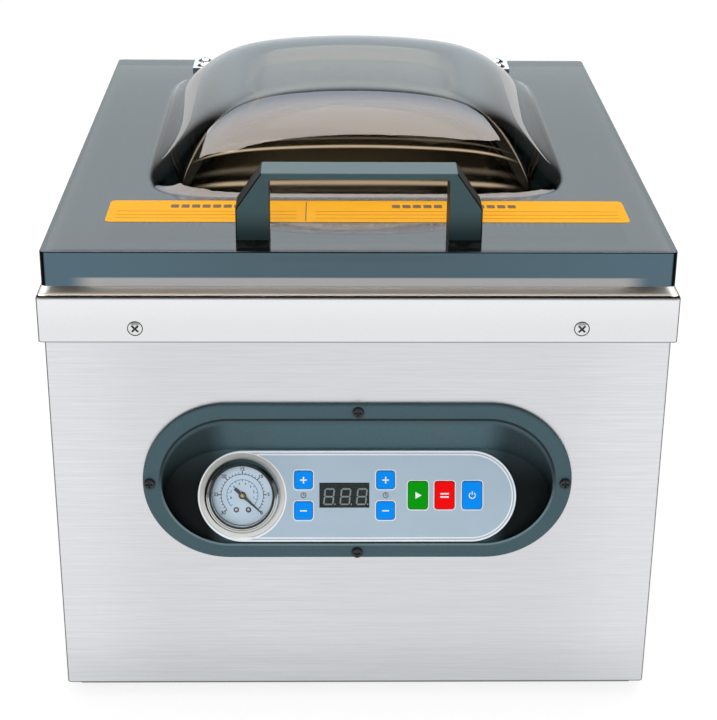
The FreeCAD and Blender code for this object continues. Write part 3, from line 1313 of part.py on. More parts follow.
def gauge_hose():
    """Hose from the gauge's stem up to the chamber."""
    port = gauge_port()
    start = panel_point(GAUGE_X, GAUGE_UP, -GAUGE_BARREL_L)
    inwards = panel_inwards()
    corner = start + inwards * ((port.y - start.y) / inwards.y)
    return hose(start, corner, port)


def transformer_core():
    """Laminated core of the sealing transformer."""
    y0 = SKIRT_Y0 + CORE_Y - CORE_D / 2
    x0 = CORE_X - CORE_W / 2
    core = box(x0, x0 + CORE_W, y0, y0 + CORE_D, CASE_Z0, CASE_Z0 + CORE_H)
    window = (CORE_W - 4 * CORE_LEG) / 2
    low = CASE_Z0 + CORE_LEG
    high = CASE_Z0 + CORE_H - CORE_LEG
    gaps = [box(x, x + window, y0 - OVERRUN, y0 + CORE_D + OVERRUN, low, high)
            for x in (x0 + CORE_LEG, x0 + CORE_W - CORE_LEG - window)]
    return core.cut(gaps)


def transformer_coil():
    """Winding round the core's middle leg."""
    y = SKIRT_Y0 + CORE_Y
    window = (CORE_W - 4 * CORE_LEG) / 2
    half_x = CORE_LEG + COIL_FIT
    half_y = CORE_D / 2 + COIL_FIT
    reach = window - 2 * COIL_FIT
    low = CASE_Z0 + CORE_LEG + COIL_FIT
    high = CASE_Z0 + CORE_H - CORE_LEG - COIL_FIT
    outer = rounded_block(CORE_X - half_x - reach, CORE_X + half_x + reach,
                          y - half_y - COIL_OUT, y + half_y + COIL_OUT, low, high, reach / 2)
    leg = box(CORE_X - half_x, CORE_X + half_x, y - half_y, y + half_y, low - OVERRUN, high + OVERRUN)
    return outer.cut(leg)


def power_inlet():
    """Mains inlet in the rear panel: flange, socket and three pins."""
    z = CASE_Z0 + INLET_Z
    flange = box(INLET_X - INLET_W / 2, INLET_X + INLET_W / 2, PANEL_Y1, PANEL_Y1 + INLET_FLANGE_T,
                 z - INLET_H / 2, z + INLET_H / 2)
    corners = [edge for edge in flange.Edges if edge.BoundBox.YLength > 1]
    flange = flange.makeFillet(INLET_WALL, corners)
    half_w = INLET_BODY_W / 2
    half_h = INLET_BODY_H / 2
    front = PANEL_Y1 - INLET_BODY_L
    body = box(INLET_X - half_w, INLET_X + half_w, front, PANEL_Y1, z - half_h, z + half_h)
    socket = box(INLET_X - half_w + INLET_WALL, INLET_X + half_w - INLET_WALL, front + 2 * INLET_WALL,
                 PANEL_Y1 + INLET_FLANGE_T + OVERRUN, z - half_h + INLET_WALL, z + half_h - INLET_WALL)
    pins = []
    rise = INLET_PIN_RISE
    for dx, dz in ((-INLET_PIN_PITCH, -rise), (INLET_PIN_PITCH, -rise), (0, rise)):
        pins.append(box(INLET_X + dx - INLET_PIN_T / 2, INLET_X + dx + INLET_PIN_T / 2, front + INLET_WALL,
                        PANEL_Y1 - INLET_WALL, z + dz - INLET_PIN_W / 2, z + dz + INLET_PIN_W / 2))
    return flange.fuse(body).cut(socket).fuse(pins).removeSplitter()


def pieces():
    """Every piece of the machine by its name."""
    made = {
        "casing_wrap": casing_wrap(), "rear_panel": rear_panel(), "base_plate": base_plate(),
        "rubber_feet": rubber_feet(), "foot_screws": foot_screws(), "top_deck": top_deck(),
        "chamber_tub": chamber_tub(), "lid_gasket": lid_gasket(), "deck_screws": deck_screws(),
        "rear_screws": rear_screws(), "base_screws": base_screws(), "lid_shell": lid_shell(),
        "lid_handle": lid_handle(), "handle_screws": handle_screws(), "pad_channel": pad_channel(),
        "seal_pad": seal_pad(), "hinge_pins": hinge_pins(), "hinge_base_screws": hinge_base_screws(),
        "hinge_lid_screws": hinge_lid_screws(), "hinge_lid_nuts": hinge_lid_nuts(),
        "lift_cylinders": lift_cylinders(), "seal_bar": seal_bar(), "heating_element": heating_element(),
        "seal_tape": seal_tape(), "bar_posts": bar_posts(), "panel_bezel": panel_bezel(),
        "bezel_screws": bezel_screws(), "control_plate": control_plate(), "key_switches": key_switches(),
        "control_board": control_board(), "board_spacers": board_spacers(),
        "display_module": display_module(), "display_window": display_window(), "gauge_case": gauge_case(),
        "gauge_bezel": gauge_bezel(), "gauge_glass": gauge_glass(), "gauge_dial": gauge_dial(),
        "gauge_needle": gauge_needle(), "pump_motor": pump_motor(), "motor_rotor": motor_rotor(),
        "pump_mounts": pump_mounts(), "pump_head": pump_head(), "solenoid_valves": solenoid_valves(),
        "suction_hose": suction_hose(), "gauge_hose": gauge_hose(), "transformer_core": transformer_core(),
        "transformer_coil": transformer_coil(), "power_inlet": power_inlet(),
    }
    for word, side in (("left", -1), ("right", 1)):
        made["hinge_lid_leaf_" + word] = hinge_lid_leaf(side)
        made["hinge_base_leaf_" + word] = hinge_base_leaf(side)
    for name, x, up, width, height in key_layout():
        made[name] = panel_key(x, up, width, height)
    return made


def main():
    """Write every piece and print what each measures."""
    os.makedirs("parts", exist_ok=True)
    for name, shape in pieces().items():
        shape.exportStep("parts/" + name + ".step")
        size = shape.BoundBox
        print(f"{name}: {len(shape.Solids)} solid(s), valid {shape.isValid()}, "
              f"{size.XLength:.1f} x {size.YLength:.1f} x {size.ZLength:.1f} mm, "
              f"{shape.Volume / 1000:.2f} ml")


main()
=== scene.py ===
"""Looks of a table-top chamber vacuum sealer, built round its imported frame.

The classes hold their sizes in millimetres and the meshes are in metres, in the frame's own axes: +Z is up
and the front faces -Y.
"""
import json
import logging
import math
from contextlib import contextmanager
from dataclasses import dataclass, field
from enum import Enum
from typing import Callable, Iterator, Sequence

import bmesh
import bpy
from mathutils import Matrix, Vector


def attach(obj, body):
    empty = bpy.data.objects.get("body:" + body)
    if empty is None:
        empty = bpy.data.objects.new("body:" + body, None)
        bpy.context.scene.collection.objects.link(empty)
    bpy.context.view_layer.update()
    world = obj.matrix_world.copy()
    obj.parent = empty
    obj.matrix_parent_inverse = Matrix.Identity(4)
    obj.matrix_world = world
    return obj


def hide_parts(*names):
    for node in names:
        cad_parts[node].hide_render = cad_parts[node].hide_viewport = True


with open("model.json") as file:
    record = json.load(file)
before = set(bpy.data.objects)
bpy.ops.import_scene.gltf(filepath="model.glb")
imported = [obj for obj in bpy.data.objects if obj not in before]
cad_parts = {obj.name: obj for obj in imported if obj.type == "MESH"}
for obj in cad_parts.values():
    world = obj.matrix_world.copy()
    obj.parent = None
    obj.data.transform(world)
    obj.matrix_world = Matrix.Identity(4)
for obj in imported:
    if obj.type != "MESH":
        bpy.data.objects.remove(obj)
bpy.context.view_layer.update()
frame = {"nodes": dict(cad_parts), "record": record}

Colour = tuple[float, float, float]
Pair = tuple[float, float]
Triple = tuple[float, float, float]
Socket = bpy.types.NodeSocket
Piece = bpy.types.Object

MM = 0.001
NEAR = 1e-6              # metres within which two places are the same
PRINT_T = 0.12           # thickness of printed ink
FINE_PRINT_T = 0.05      # thickness of ink on ink
PRINT_LIFT = 0.03        # gap between ink and what it lies on
FIGURE_BOLD = 0.05       # how far printed figures swell
LEVEL_NORMAL = 0.9       # upward part of a normal, past which a face is level
UPRIGHT_NORMAL = 0.1     # upward part of a normal, below which a face is upright
MOULDED_ANGLE = 32.0     # degrees up to which moulded pieces are shaded smooth
SOFT_ANGLE = 40.0        # degrees up to which rubber, blown and beaded pieces are shaded smooth
MERGE_GAP = 0.01         # gap under which a copied node's loose corners are merged
FLAT_ANGLE = 0.5         # degrees under which a copied node's neighbouring faces are one
DISC_SIDES = 96          # sides of a printed disc
ARC_SIDES = 180          # sides of the circle that a printed arc is cut from
CORNER_STEPS = 6         # steps round a printed corner
ROUND_STEPS = 4          # steps of a full rounding
EASE_STEPS = 2           # steps of an edge that is only eased
NOISE_MIDDLE: Pair = (0.3, 0.7)    # range that most of a noise lies in
UNMOVED = Matrix.Identity(4).freeze()

log = logging.getLogger("vacuum_sealer")


class Part(Enum):
    """Kind of mesh element that is chosen in edit mode."""

    VERTS = "VERT"
    EDGES = "EDGE"
    FACES = "FACE"


class Axis(Enum):
    """Coordinate that a finish reads: how far to either side, how far back, or how high."""

    ASIDE = "X"
    BACK = "Y"
    UP = "Z"


class Grain(Enum):
    """Way that a metal surface is brushed, as stretch per metre along X, Y and Z."""

    LEVEL = (45.0, 45.0, 3500.0)
    ACROSS = (9.0, 2400.0, 2400.0)
    RANDOM = (1500.0, 1500.0, 1500.0)


class NodeTree:
    """Node tree that is built step by step."""

    def __init__(self, tree: bpy.types.NodeTree) -> None:
        """Take over a tree."""
        self.tree = tree

    def add(self, kind: str, **settings: object) -> bpy.types.Node:
        """Add a node.

        Args:
            kind: Blender's name of the node type.
            settings: Values of the node's own properties.

        Returns:
            The new node.
        """
        node = self.tree.nodes.new(kind)
        for key, value in settings.items():
            setattr(node, key, value)
        return node

    def link(self, source: Socket, target: Socket) -> None:
        """Join an output to an input."""
        self.tree.links.new(source, target)

    def plug(self, value: Socket | Colour | float, target: Socket) -> None:
        """Join an output to an input, or set the input to a constant.

        Args:
            value: Output, colour or number that the input takes.
            target: Input of a node.
        """
        if isinstance(value, tuple):
            target.default_value = (*value, 1.0)
        elif isinstance(value, float):
            target.default_value = value
        else:
            self.link(value, target)

    def span(self, source: Socket, low: float, high: float, start: float = 0.0, end: float = 1.0) -> Socket:
        """Ease a value from one range into another.

        Args:
            source: Value that is read.
            low: Value that gives start.
            high: Value that gives end.
            start: Result at and before low.
            end: Result at and past high.

        Returns:
            The eased value.
        """
        node = self.add("ShaderNodeMapRange", interpolation_type="SMOOTHSTEP")
        for key, value in (("From Min", low), ("From Max", high), ("To Min", start), ("To Max", end)):
            node.inputs[key].default_value = value
        self.link(source, node.inputs["Value"])
        return node.outputs["Result"]

    def maths(self, step: str, first: Socket, *others: Socket | float) -> Socket:
        """Work out one value from several, two at a time.

        Args:
            step: Blender's name of the sum.
            first: Value to start from.
            others: Values that are taken in one after the other.

        Returns:
            The result.
        """
        result = first
        for other in others:
            node = self.add("ShaderNodeMath", operation=step)
            self.link(result, node.inputs[0])
            self.plug(other, node.inputs[1])
            result = node.outputs["Value"]
        return result

    def product(self, first: Socket, *others: Socket | float) -> Socket:
        """Multiply values together."""
        return self.maths("MULTIPLY", first, *others)

    def most(self, first: Socket, *others: Socket | float) -> Socket:
        """The largest of several values."""
        return self.maths("MAXIMUM", first, *others)

    def unsigned(self, value: Socket) -> Socket:
        """A value without its sign."""
        return self.maths("ABSOLUTE", value, 0.0)

    def part_of(self, vector: Socket, axis: Axis) -> Socket:
        """One part of a vector.

        Args:
            vector: Vector that is split.
            axis: Axis of the part.

        Returns:
            The part's value.
        """
        node = self.add("ShaderNodeSeparateXYZ")
        self.link(vector, node.inputs["Vector"])
        return node.outputs[axis.value]

    def blend(self, factor: Socket, first: Socket | Colour, second: Socket | Colour) -> Socket:
        """Mix two colours.

        Args:
            factor: Share of the second colour.
            first: Colour at 0.
            second: Colour at 1.

        Returns:
            The mixed colour.
        """
        node = self.add("ShaderNodeMix", data_type="RGBA")
        self.link(factor, node.inputs["Factor"])
        self.plug(first, node.inputs[6])
        self.plug(second, node.inputs[7])
        return node.outputs[2]

    def between(self, factor: Socket, first: Socket | float, second: Socket | float) -> Socket:
        """Mix two values.

        Args:
            factor: Share of the second value.
            first: Value at 0.
            second: Value at 1.

        Returns:
            The mixed value.
        """
        node = self.add("ShaderNodeMix", data_type="FLOAT")
        self.link(factor, node.inputs["Factor"])
        self.plug(first, node.inputs["A"])
        self.plug(second, node.inputs["B"])
        return node.outputs["Result"]

    def scaled(self, colour: Socket, factor: Socket) -> Socket:
        """Make a colour lighter or darker.

        Args:
            colour: Colour to start from.
            factor: Factor of all its parts.

        Returns:
            The changed colour.
        """
        node = self.add("ShaderNodeVectorMath", operation="SCALE")
        self.link(colour, node.inputs[0])
        self.link(factor, node.inputs["Scale"])
        return node.outputs["Vector"]


class Shader(NodeTree):
    """Node tree of one material, built round its Principled shader."""

    def __init__(self, name: str) -> None:
        """Start a new material with Object coordinates at hand.

        Args:
            name: Name of the material.
        """
        self.material = bpy.data.materials.new(name)
        self.material.use_nodes = True
        super().__init__(self.material.node_tree)
        self.surface = self.tree.nodes["Principled BSDF"]
        self.place = self.add("ShaderNodeTexCoord").outputs["Object"]

    def set(self, **values: Colour | float) -> None:
        """Set constant inputs of the Principled shader, with underscores for spaces in their names."""
        for key, value in values.items():
            self.plug(value, self.surface.inputs[key.replace("_", " ")])

    def feed(self, source: Socket, name: str) -> None:
        """Join an output to a named input of the Principled shader."""
        self.link(source, self.surface.inputs[name])

    def noise(self, scale: float | Sequence[float], detail: float = 2.0) -> Socket:
        """Noise on the piece.

        Args:
            scale: Stretch per metre, the same all ways or one for each axis.
            detail: Number of finer layers.

        Returns:
            The noise's value, from 0 to 1.
        """
        stretch = self.add("ShaderNodeMapping")
        stretch.inputs["Scale"].default_value = (scale,) * 3 if isinstance(scale, float) else tuple(scale)
        self.link(self.place, stretch.inputs["Vector"])
        node = self.add("ShaderNodeTexNoise")
        node.inputs["Scale"].default_value = 1.0
        node.inputs["Detail"].default_value = detail
        self.link(stretch.outputs["Vector"], node.inputs["Vector"])
        return node.outputs["Fac"]

    def axis(self, axis: Axis) -> Socket:
        """One coordinate of the point in metres, without its sign where it runs to either side."""
        value = self.part_of(self.place, axis)
        return self.unsigned(value) if axis is Axis.ASIDE else value

    def along(self, axis: Axis, start: float, end: float, low: float = 0.0, high: float = 1.0) -> Socket:
        """Ease a value between two places in millimetres along an axis."""
        return self.span(self.axis(axis), start * MM, end * MM, low, high)

    def course(self, axis: Axis, change: Triple) -> Socket:
        """Factor of a slow change along an axis, given by its start, its end and the factor there."""
        start, end, factor = change
        return self.along(axis, start, end, 1.0, factor)

    def facing(self, axis: Axis) -> Socket:
        """How far the surface faces along an axis, either way, from 0 to 1."""
        normal = self.add("ShaderNodeNewGeometry").outputs["Normal"]
        return self.unsigned(self.part_of(normal, axis))

    def mottled(self, pattern: Socket, colour: Colour, tones: Pair) -> Socket:
        """A colour that goes between two factors of itself with a pattern."""
        dark, light = tones
        return self.blend(pattern, shade(colour, dark), shade(colour, light))

    def bump(self, height: Socket, strength: float, depth: float) -> None:
        """Raise the surface by a pattern.

        Args:
            height: Pattern, from 0 to 1.
            strength: Strength of the bump.
            depth: Depth of the relief in millimetres.
        """
        node = self.add("ShaderNodeBump")
        node.inputs["Strength"].default_value = strength
        node.inputs["Distance"].default_value = depth * MM
        self.link(height, node.inputs["Height"])
        self.feed(node.outputs["Normal"], "Normal")


def shade(colour: Colour, factor: float) -> Colour:
    """The same colour, lighter or darker."""
    return tuple(min(1.0, part * factor) for part in colour)


@dataclass(frozen=True)
class Finish:
    """Surface finish that makes its material at its first use."""

    name: str
    colour: Colour

    def material(self) -> bpy.types.Material:
        """Make the finish's material, or find it where it is made.

        Returns:
            The material.
        """
        found = bpy.data.materials.get(self.name)
        if found is None:
            shader = Shader(self.name)
            self.build(shader)
            found = shader.material
        return found

    def build(self, shader: Shader) -> None:
        """Lay the finish's nodes."""
        raise NotImplementedError


@dataclass(frozen=True)
class BrushedSteel(Finish):
    """Sheet metal with a brushed grain, and painted light and shade in its colour.

    Painted shade lies on the outer parts of the upright folds and along the lower edge, and painted light and
    shade change slowly to the sides and by height. A change holds the place where it starts, the place where
    it ends, and the factor there. The fold's limits say how far the surface faces aside, and then forwards,
    where a fold begins and where it is fully turned.
    """

    roughness: float = 0.34
    grain: Grain = Grain.LEVEL
    streaks: float = 0.05
    tooth: float = 0.06
    # painted light to the sides, painted shading by height, and painted shade along the lower edge and on the
    # folds
    to_sides: Triple = (90.0, 165.0, 1.0)
    by_height: Triple = (0.0, 240.0, 1.0)
    lower_edge: Triple = (1.0, 0.0, 1.0)
    fold_shadow: float = 1.0
    fold_aside: Pair = (0.55, 0.75)
    fold_forwards: Pair = (0.02, 0.15)
    fine_share: float = 0.6
    fine_detail: float = 3.0
    broad_detail: float = 2.0
    broad_stretch: float = 4.0
    streak_middle: Pair = (0.25, 0.75)
    clouds: tuple[Triple, float] = ((6.0, 6.0, 9.0), 1.0)
    cloud_share: float = 0.35
    cloud_tone: float = 0.95
    gloss_middle: Pair = (0.2, 0.8)
    gloss: float = 0.06
    relief: float = 0.05

    def build(self, shader: Shader) -> None:
        """Lay fine streaks over slow clouds, in colour, gloss and relief.

        Args:
            shader: Material that takes the finish.
        """
        fine = shader.noise(self.grain.value, self.fine_detail)
        broad = shader.noise([part / self.broad_stretch for part in self.grain.value], self.broad_detail)
        streak = shader.maths("ADD", shader.product(fine, self.fine_share),
                              shader.product(broad, 1.0 - self.fine_share))
        tones = (1.0 - self.streaks, 1.0 + self.streaks)
        grained = shader.mottled(shader.span(streak, *self.streak_middle), self.colour, tones)
        clouds = shader.span(shader.noise(*self.clouds), *NOISE_MIDDLE, 0.0, self.cloud_share)
        clouded = shader.blend(clouds, grained, shade(self.colour, self.cloud_tone))
        shader.set(Metallic=1.0)
        tone, level = self.topped(shader, clouded, self.level(shader))
        shader.feed(shader.scaled(tone, level), "Base Color")
        least, most = self.roughness - self.gloss, self.roughness + self.gloss
        shader.feed(shader.span(streak, *self.gloss_middle, least, most), "Roughness")
        shader.bump(streak, self.tooth, self.relief)

    def level(self, shader: Shader) -> Socket:
        """Factor of the painted light and shade: its slow changes, and the painted shade on the folds' outer
        parts.

        Args:
            shader: Material that takes the finish.

        Returns:
            The factor of the colour.
        """
        # painted shade on the folds' outer parts, times the painted light and shade by place
        outer = shader.span(shader.facing(Axis.ASIDE), *self.fold_aside)
        turning = shader.span(shader.facing(Axis.BACK), *self.fold_forwards)
        fold = shader.span(shader.product(outer, turning), 0.0, 1.0, 1.0, self.fold_shadow)
        heights = [shader.course(Axis.UP, change) for change in (self.by_height, self.lower_edge)]
        return shader.product(shader.course(Axis.ASIDE, self.to_sides), *heights, fold)

    def topped(self, shader: Shader, colour: Socket, level: Socket) -> tuple[Socket, Socket]:
        """Colour and factor as they are on the sheet's level top."""
        return colour, level


@dataclass(frozen=True)
class DeckSteel(BrushedSteel):
    """Brushed sheet with painted light and shade on its level top and its folds.

    Its top is painted warm with a reflection of the pale gasket, and darker with painted shade further back
    under the lid, and its folds have a bright lip, a painted highlight, over a dark line of painted shade.

    The limits called up say how far the surface faces upwards where each zone begins and where it is full.
    """

    # painted reflection of the gasket on the top, painted shade further back, painted highlight on the lip
    # and painted shade in the line
    top_colour: Colour = (0.95, 0.87, 0.78)
    top_share: float = 0.8
    top_up: Pair = (0.5, 0.9)
    top_behind: Triple = (-190.0, -150.0, 0.45)
    flat_up: Pair = (0.985, 0.9995)
    flat_metal: float = 0.70
    lip_colour: Colour = (1.0, 0.88, 0.76)
    lip_up: Pair = (0.86, 0.93)
    lip_y: Pair = (-192.0, -194.2)
    lip_metal: float = 0.05
    line_up: tuple[Pair, Pair] = ((0.88, 0.82), (0.45, 0.65))
    line_shadow: float = 0.12

    def topped(self, shader: Shader, colour: Socket, level: Socket) -> tuple[Socket, Socket]:
        """Lay the painted light and shade on the top: the warm reflection of the gasket, the bright lip as a
        painted highlight, and the dark line and the darker top further back as painted shade.

        Args:
            shader: Material that takes the finish.
            colour: Colour of the sheet.
            level: Factor of that colour.

        Returns:
            The colour and the factor with the top laid over them.
        """
        up = shader.facing(Axis.UP)
        curved = shader.span(up, *reversed(self.flat_up))
        border = shader.most(shader.along(Axis.BACK, *self.lip_y), curved)
        lip = shader.product(shader.span(up, *self.lip_up), border)
        # painted reflection of the gasket on the level top, with the painted highlight of the lip laid over
        # it
        warm = shader.blend(shader.span(up, *self.top_up, 0.0, self.top_share), colour, self.top_colour)
        metal = shader.span(up, *self.flat_up, 1.0, self.flat_metal)
        shader.feed(shader.between(lip, metal, self.lip_metal), "Metallic")
        behind = shader.between(shader.span(up, *self.top_up), 1.0, shader.course(Axis.BACK, self.top_behind))
        line = shader.product(*(shader.span(up, *limits) for limits in self.line_up))
        shadow = shader.span(line, 0.0, 1.0, 1.0, self.line_shadow)
        return shader.blend(lip, warm, self.lip_colour), shader.product(level, behind, shadow)


@dataclass(frozen=True)
class GrainedFinish(Finish):
    """Even surface with clouds in its colour, and a grain in its gloss and its relief.

    The clouds and the grain hold a noise's stretch per metre and its detail. The tones are the factors that
    the colour goes between, the gloss is what the roughness gains at the two ends of its pattern, and the
    relief is the strength of the bump and its depth in millimetres.
    """

    roughness: float = 0.45
    metallic: float = 0.0
    specular: float = 0.5
    clouds: Pair = (40.0, 2.0)
    grain: tuple[float | Triple, float] = (900.0, 3.0)
    tones: Pair = (0.88, 1.08)
    gloss: Pair = (-0.08, 0.10)
    gloss_in_clouds: bool = False
    relief: Pair = (0.2, 0.06)

    def build(self, shader: Shader) -> None:
        """Lay the clouds and the grain.

        Args:
            shader: Material that takes the finish.
        """
        clouds = shader.noise(*self.clouds)
        grain = shader.noise(*self.grain)
        shader.feed(self.coloured(shader, clouds, grain), "Base Color")
        ends = [self.roughness + change for change in self.gloss]
        pattern = clouds if self.gloss_in_clouds else grain
        shader.feed(shader.span(pattern, *NOISE_MIDDLE, *ends), "Roughness")
        shader.set(Metallic=self.metallic, Specular_IOR_Level=self.specular)
        shader.bump(grain, *self.relief)

    def coloured(self, shader: Shader, clouds: Socket, grain: Socket) -> Socket:
        """The colour with its clouds."""
        return shader.mottled(clouds, self.colour, self.tones)


@dataclass(frozen=True)
class CastMetal(GrainedFinish):
    """Cast, extruded or painted metal with a soft sand grain."""

    metallic: float = 1.0


@dataclass(frozen=True)
class BrightMetal(GrainedFinish):
    """Polished or plated metal with faint wear and fine scratches."""

    roughness: float = 0.14
    metallic: float = 1.0
    clouds: Pair = (160.0, 3.0)
    grain: tuple[float | Triple, float] = ((300.0, 2400.0, 2400.0), 2.0)
    tones: Pair = (0.92, 1.05)
    gloss: Pair = (-0.042, 0.056)
    gloss_in_clouds: bool = True
    relief: Pair = (0.05, 0.03)


@dataclass(frozen=True)
class SoftRubber(GrainedFinish):
    """Rubber or silicone with a dusty bloom on a dull, slightly uneven skin."""

    roughness: float = 0.62
    specular: float = 0.35
    clouds: Pair = (70.0, 4.0)
    grain: tuple[float | Triple, float] = (1100.0, 2.0)
    tones: Pair = (0.86, 1.12)
    gloss: Pair = (-0.06, 0.10)
    gloss_in_clouds: bool = True
    relief: Pair = (0.15, 0.05)


@dataclass(frozen=True)
class PrintInk(GrainedFinish):
    """Printed ink or a coloured key face, even with a faint stipple."""

    roughness: float = 0.42
    specular: float = 0.14
    clouds: Pair = (60.0, 1.0)
    grain: tuple[float | Triple, float] = (2200.0, 2.0)
    tones: Pair = (0.96, 1.03)
    gloss: Pair = (-0.05, 0.05)
    relief: Pair = (0.06, 0.03)


@dataclass(frozen=True)
class MouldedPlastic(GrainedFinish):
    """Moulded plastic with a spark-eroded texture and painted shade that changes slowly by height.

    Its dust holds the most that the clouds take up, and their factor of the colour.
    """

    roughness: float = 0.5
    clouds: Pair = (22.0, 2.0)
    grain: tuple[float | Triple, float] = (1400.0, 2.0)
    tones: Pair = (0.80, 1.22)
    gloss: Pair = (0.06, -0.06)
    relief: Pair = (0.25, 0.08)
    dust: Pair = (0.3, 0.93)
    dust_middle: Pair = (0.35, 0.65)
    # painted shade by height: where it starts, where it ends and the factor there
    by_height: Triple = (0.0, 1.0, 1.0)

    def coloured(self, shader: Shader, clouds: Socket, grain: Socket) -> Socket:
        """Lay pebbles of colour under slow clouds of dust.

        Args:
            shader: Material that takes the finish.
            clouds: Pattern of the clouds.
            grain: Pattern of the pebbles.

        Returns:
            The colour.
        """
        speckled = shader.mottled(grain, self.colour, self.tones)
        share, factor = self.dust
        dust = shader.span(clouds, *self.dust_middle, 0.0, share)
        return self.toned(shader, shader.blend(dust, speckled, shade(self.colour, factor)))

    def toned(self, shader: Shader, colour: Socket) -> Socket:
        """The grained colour as it lies on the piece, with its painted shade by height."""
        return shader.scaled(colour, shader.course(Axis.UP, self.by_height))


@dataclass(frozen=True)
class PocketPlastic(MouldedPlastic):
    """Moulded plastic with painted shade in the pocket's deep ends and painted light on its upper wall.

    Its levels hold a factor for the pocket's lower part and one for its upper part.
    """

    # painted shade inside the pocket, darkest at its ends, and painted light on its upper wall
    depths: Pair = (-197.2, -194.5)
    ends: Pair = (66.0, 82.0)
    rise: Pair = (128.0, 152.0)
    end_levels: Pair = (0.05, 0.35)
    wall_levels: Pair = (1.0, 1.25)

    def toned(self, shader: Shader, colour: Socket) -> Socket:
        """Paint shade into the pocket's left and right ends, and paint light onto its upper wall.

        Args:
            shader: Material that takes the finish.
            colour: Grained colour.

        Returns:
            The colour as it lies on the piece.
        """
        walls = shader.along(Axis.UP, *self.rise, *self.wall_levels)
        ends = shader.along(Axis.UP, *self.rise, *self.end_levels)
        inside = shader.between(shader.along(Axis.ASIDE, *self.ends), walls, ends)
        level = shader.between(shader.along(Axis.BACK, *self.depths), 1.0, inside)
        return shader.scaled(colour, level)


@dataclass(frozen=True)
class SidedPlastic(MouldedPlastic):
    """Moulded plastic with painted shade that makes its left and right sides near black."""

    shadow: float = 0.03
    side_aside: Pair = (0.10, 0.40)

    def toned(self, shader: Shader, colour: Socket) -> Socket:
        """The grained colour, with painted shade where the surface faces sideways."""
        # painted shade on the sides
        dark = shader.span(shader.facing(Axis.ASIDE), *self.side_aside, 1.0, self.shadow)
        return shader.scaled(super().toned(shader, colour), dark)


@dataclass(frozen=True)
class ClearPane(Finish):
    """Clear or tinted pane with faint smears."""

    roughness: Pair = (0.02, 0.06)
    specular: float = 0.15
    ior: float = 1.46
    smears: Pair = (90.0, 3.0)
    smear_middle: Pair = (0.5, 0.8)

    def build(self, shader: Shader) -> None:
        """Lay the smears on a clear body.

        Args:
            shader: Material that takes the finish.
        """
        shader.set(Base_Color=self.colour, Transmission_Weight=1.0, IOR=self.ior)
        shader.set(Specular_IOR_Level=self.specular)
        smears = shader.span(shader.noise(*self.smears), *self.smear_middle, *self.roughness)
        shader.feed(smears, "Roughness")


